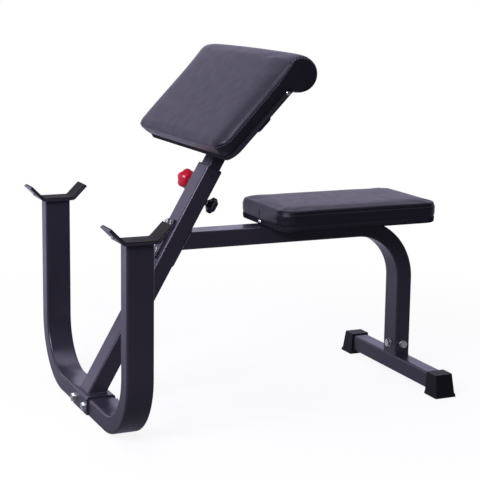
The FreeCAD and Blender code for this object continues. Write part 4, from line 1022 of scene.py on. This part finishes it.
# The photograph's camera, in metres, degrees and shares of the picture
CAMERA_PLACE = (-1.28585, -2.80215, 0.96615)
CAMERA_FORWARD = (0.4032, 0.8980, -0.1766)
CAMERA_RIGHT = (0.9123, -0.4096, 0.0)
CAMERA_ROLL = 0.75
CAMERA_SENSOR, CAMERA_LENS = 36.0, 100.95
CAMERA_SHIFT = (0.00567, -0.044)


def studio_floor():
    """White to the camera but for the shadow. In reflections it is dim in front of the bench."""
    mesh = bpy.data.meshes.new("floor")
    corners = [(x * FLOOR_HALF, y * FLOOR_HALF, 0) for x, y in ((-1, -1), (1, -1), (1, 1), (-1, 1))]
    mesh.from_pydata(corners, [], [(0, 1, 2, 3)])
    floor = bpy.data.objects.new("floor", mesh)
    bpy.context.scene.collection.objects.link(floor)
    floor.location.z = -FLOOR_DROP
    material = bpy.data.materials.new("floor")
    mesh.materials.append(material)
    n = Nodes(material)
    n.tree.nodes.clear()
    path = n.node("ShaderNodeLightPath")
    pale = n.node("ShaderNodeBsdfDiffuse")
    pale.inputs["Color"].default_value = (0.92, 0.92, 0.92, 1.0)
    dim = n.node("ShaderNodeBsdfDiffuse")
    dim.inputs["Color"].default_value = (0.20, 0.19, 0.22, 1.0)
    white = n.node("ShaderNodeEmission")
    white.inputs["Strength"].default_value = 1.0
    sheen = n.node("ShaderNodeEmission")
    sheen.inputs["Color"].default_value = STUDIO_TINT
    place = n.node("ShaderNodeNewGeometry").outputs["Position"]
    split = n.node("ShaderNodeSeparateXYZ")
    n.link(place, split.inputs[0])
    n.link(n.ramp(split.outputs["Y"], FLOOR_SHEEN), sheen.inputs["Strength"])
    away = n.node("ShaderNodeVectorMath", operation="LENGTH")
    n.link(place, away.inputs[0])
    lit = n.mixed(path.outputs["Is Glossy Ray"], dim.outputs[0], sheen.outputs[0])
    seen = n.mixed(n.ramp(away.outputs["Value"], FLOOR_WHITE), pale.outputs[0], white.outputs[0])
    surface = n.mixed(path.outputs["Is Camera Ray"], lit, seen)
    n.link(surface, n.node("ShaderNodeOutputMaterial").inputs["Surface"])


def studio_world():
    """White to the camera. For light and reflections it is bright behind the bench and dim in front."""
    world = bpy.data.worlds.new("studio")
    bpy.context.scene.world = world
    n = Nodes(world)
    n.tree.nodes.clear()
    path = n.node("ShaderNodeLightPath")
    seen = n.node("ShaderNodeBackground")
    light = n.node("ShaderNodeBackground")
    light.inputs["Color"].default_value = STUDIO_TINT
    split = n.node("ShaderNodeSeparateXYZ")
    n.link(n.node("ShaderNodeTexCoord").outputs["Generated"], split.inputs[0])
    n.link(n.ramp(split.outputs["Y"], STUDIO_GLOW), light.inputs["Strength"])
    seen.inputs["Color"].default_value = (1, 1, 1, 1)
    surface = n.mixed(path.outputs["Is Camera Ray"], light.outputs[0], seen.outputs[0])
    n.link(surface, n.node("ShaderNodeOutputWorld").inputs["Surface"])


def softbox(name, place, target, width, height, power):
    lamp = bpy.data.lights.new(name, "AREA")
    lamp.shape = "RECTANGLE"
    lamp.size = width
    lamp.size_y = height
    lamp.energy = power
    lamp.color = STUDIO_TINT[:3]
    obj = bpy.data.objects.new(name, lamp)
    bpy.context.scene.collection.objects.link(obj)
    obj.location = place
    obj.rotation_euler = (Vector(target) - Vector(place)).to_track_quat("-Z", "Y").to_euler()


def camera():
    forward = Vector(CAMERA_FORWARD).normalized()
    right = Vector(CAMERA_RIGHT).normalized()
    up = right.cross(forward)
    roll = math.radians(CAMERA_ROLL)
    level = right * math.cos(roll) + up * math.sin(roll)
    raised = up * math.cos(roll) - right * math.sin(roll)
    data = bpy.data.cameras.new("photo")
    data.sensor_width = CAMERA_SENSOR
    data.lens = CAMERA_LENS
    data.shift_x, data.shift_y = CAMERA_SHIFT
    data.dof.use_dof = False
    obj = bpy.data.objects.new("photo", data)
    bpy.context.scene.collection.objects.link(obj)
    turn = Matrix((level, raised, -forward)).transposed().to_4x4()
    obj.matrix_world = Matrix.Translation(CAMERA_PLACE) @ turn
    bpy.context.scene.camera = obj


def studio():
    studio_floor()
    studio_world()
    softbox("left", (-2.35, -1.5, 2.25), (-0.1, 0.0, 0.5), width=1.7, height=1.5, power=130.0)
    softbox("above", (0.0, 0.5, 3.0), (0.0, 0.0, 0.3), width=2.4, height=2.4, power=35.0)
    bpy.context.scene.view_settings.view_transform = "Standard"
    camera()


dress()
studio()
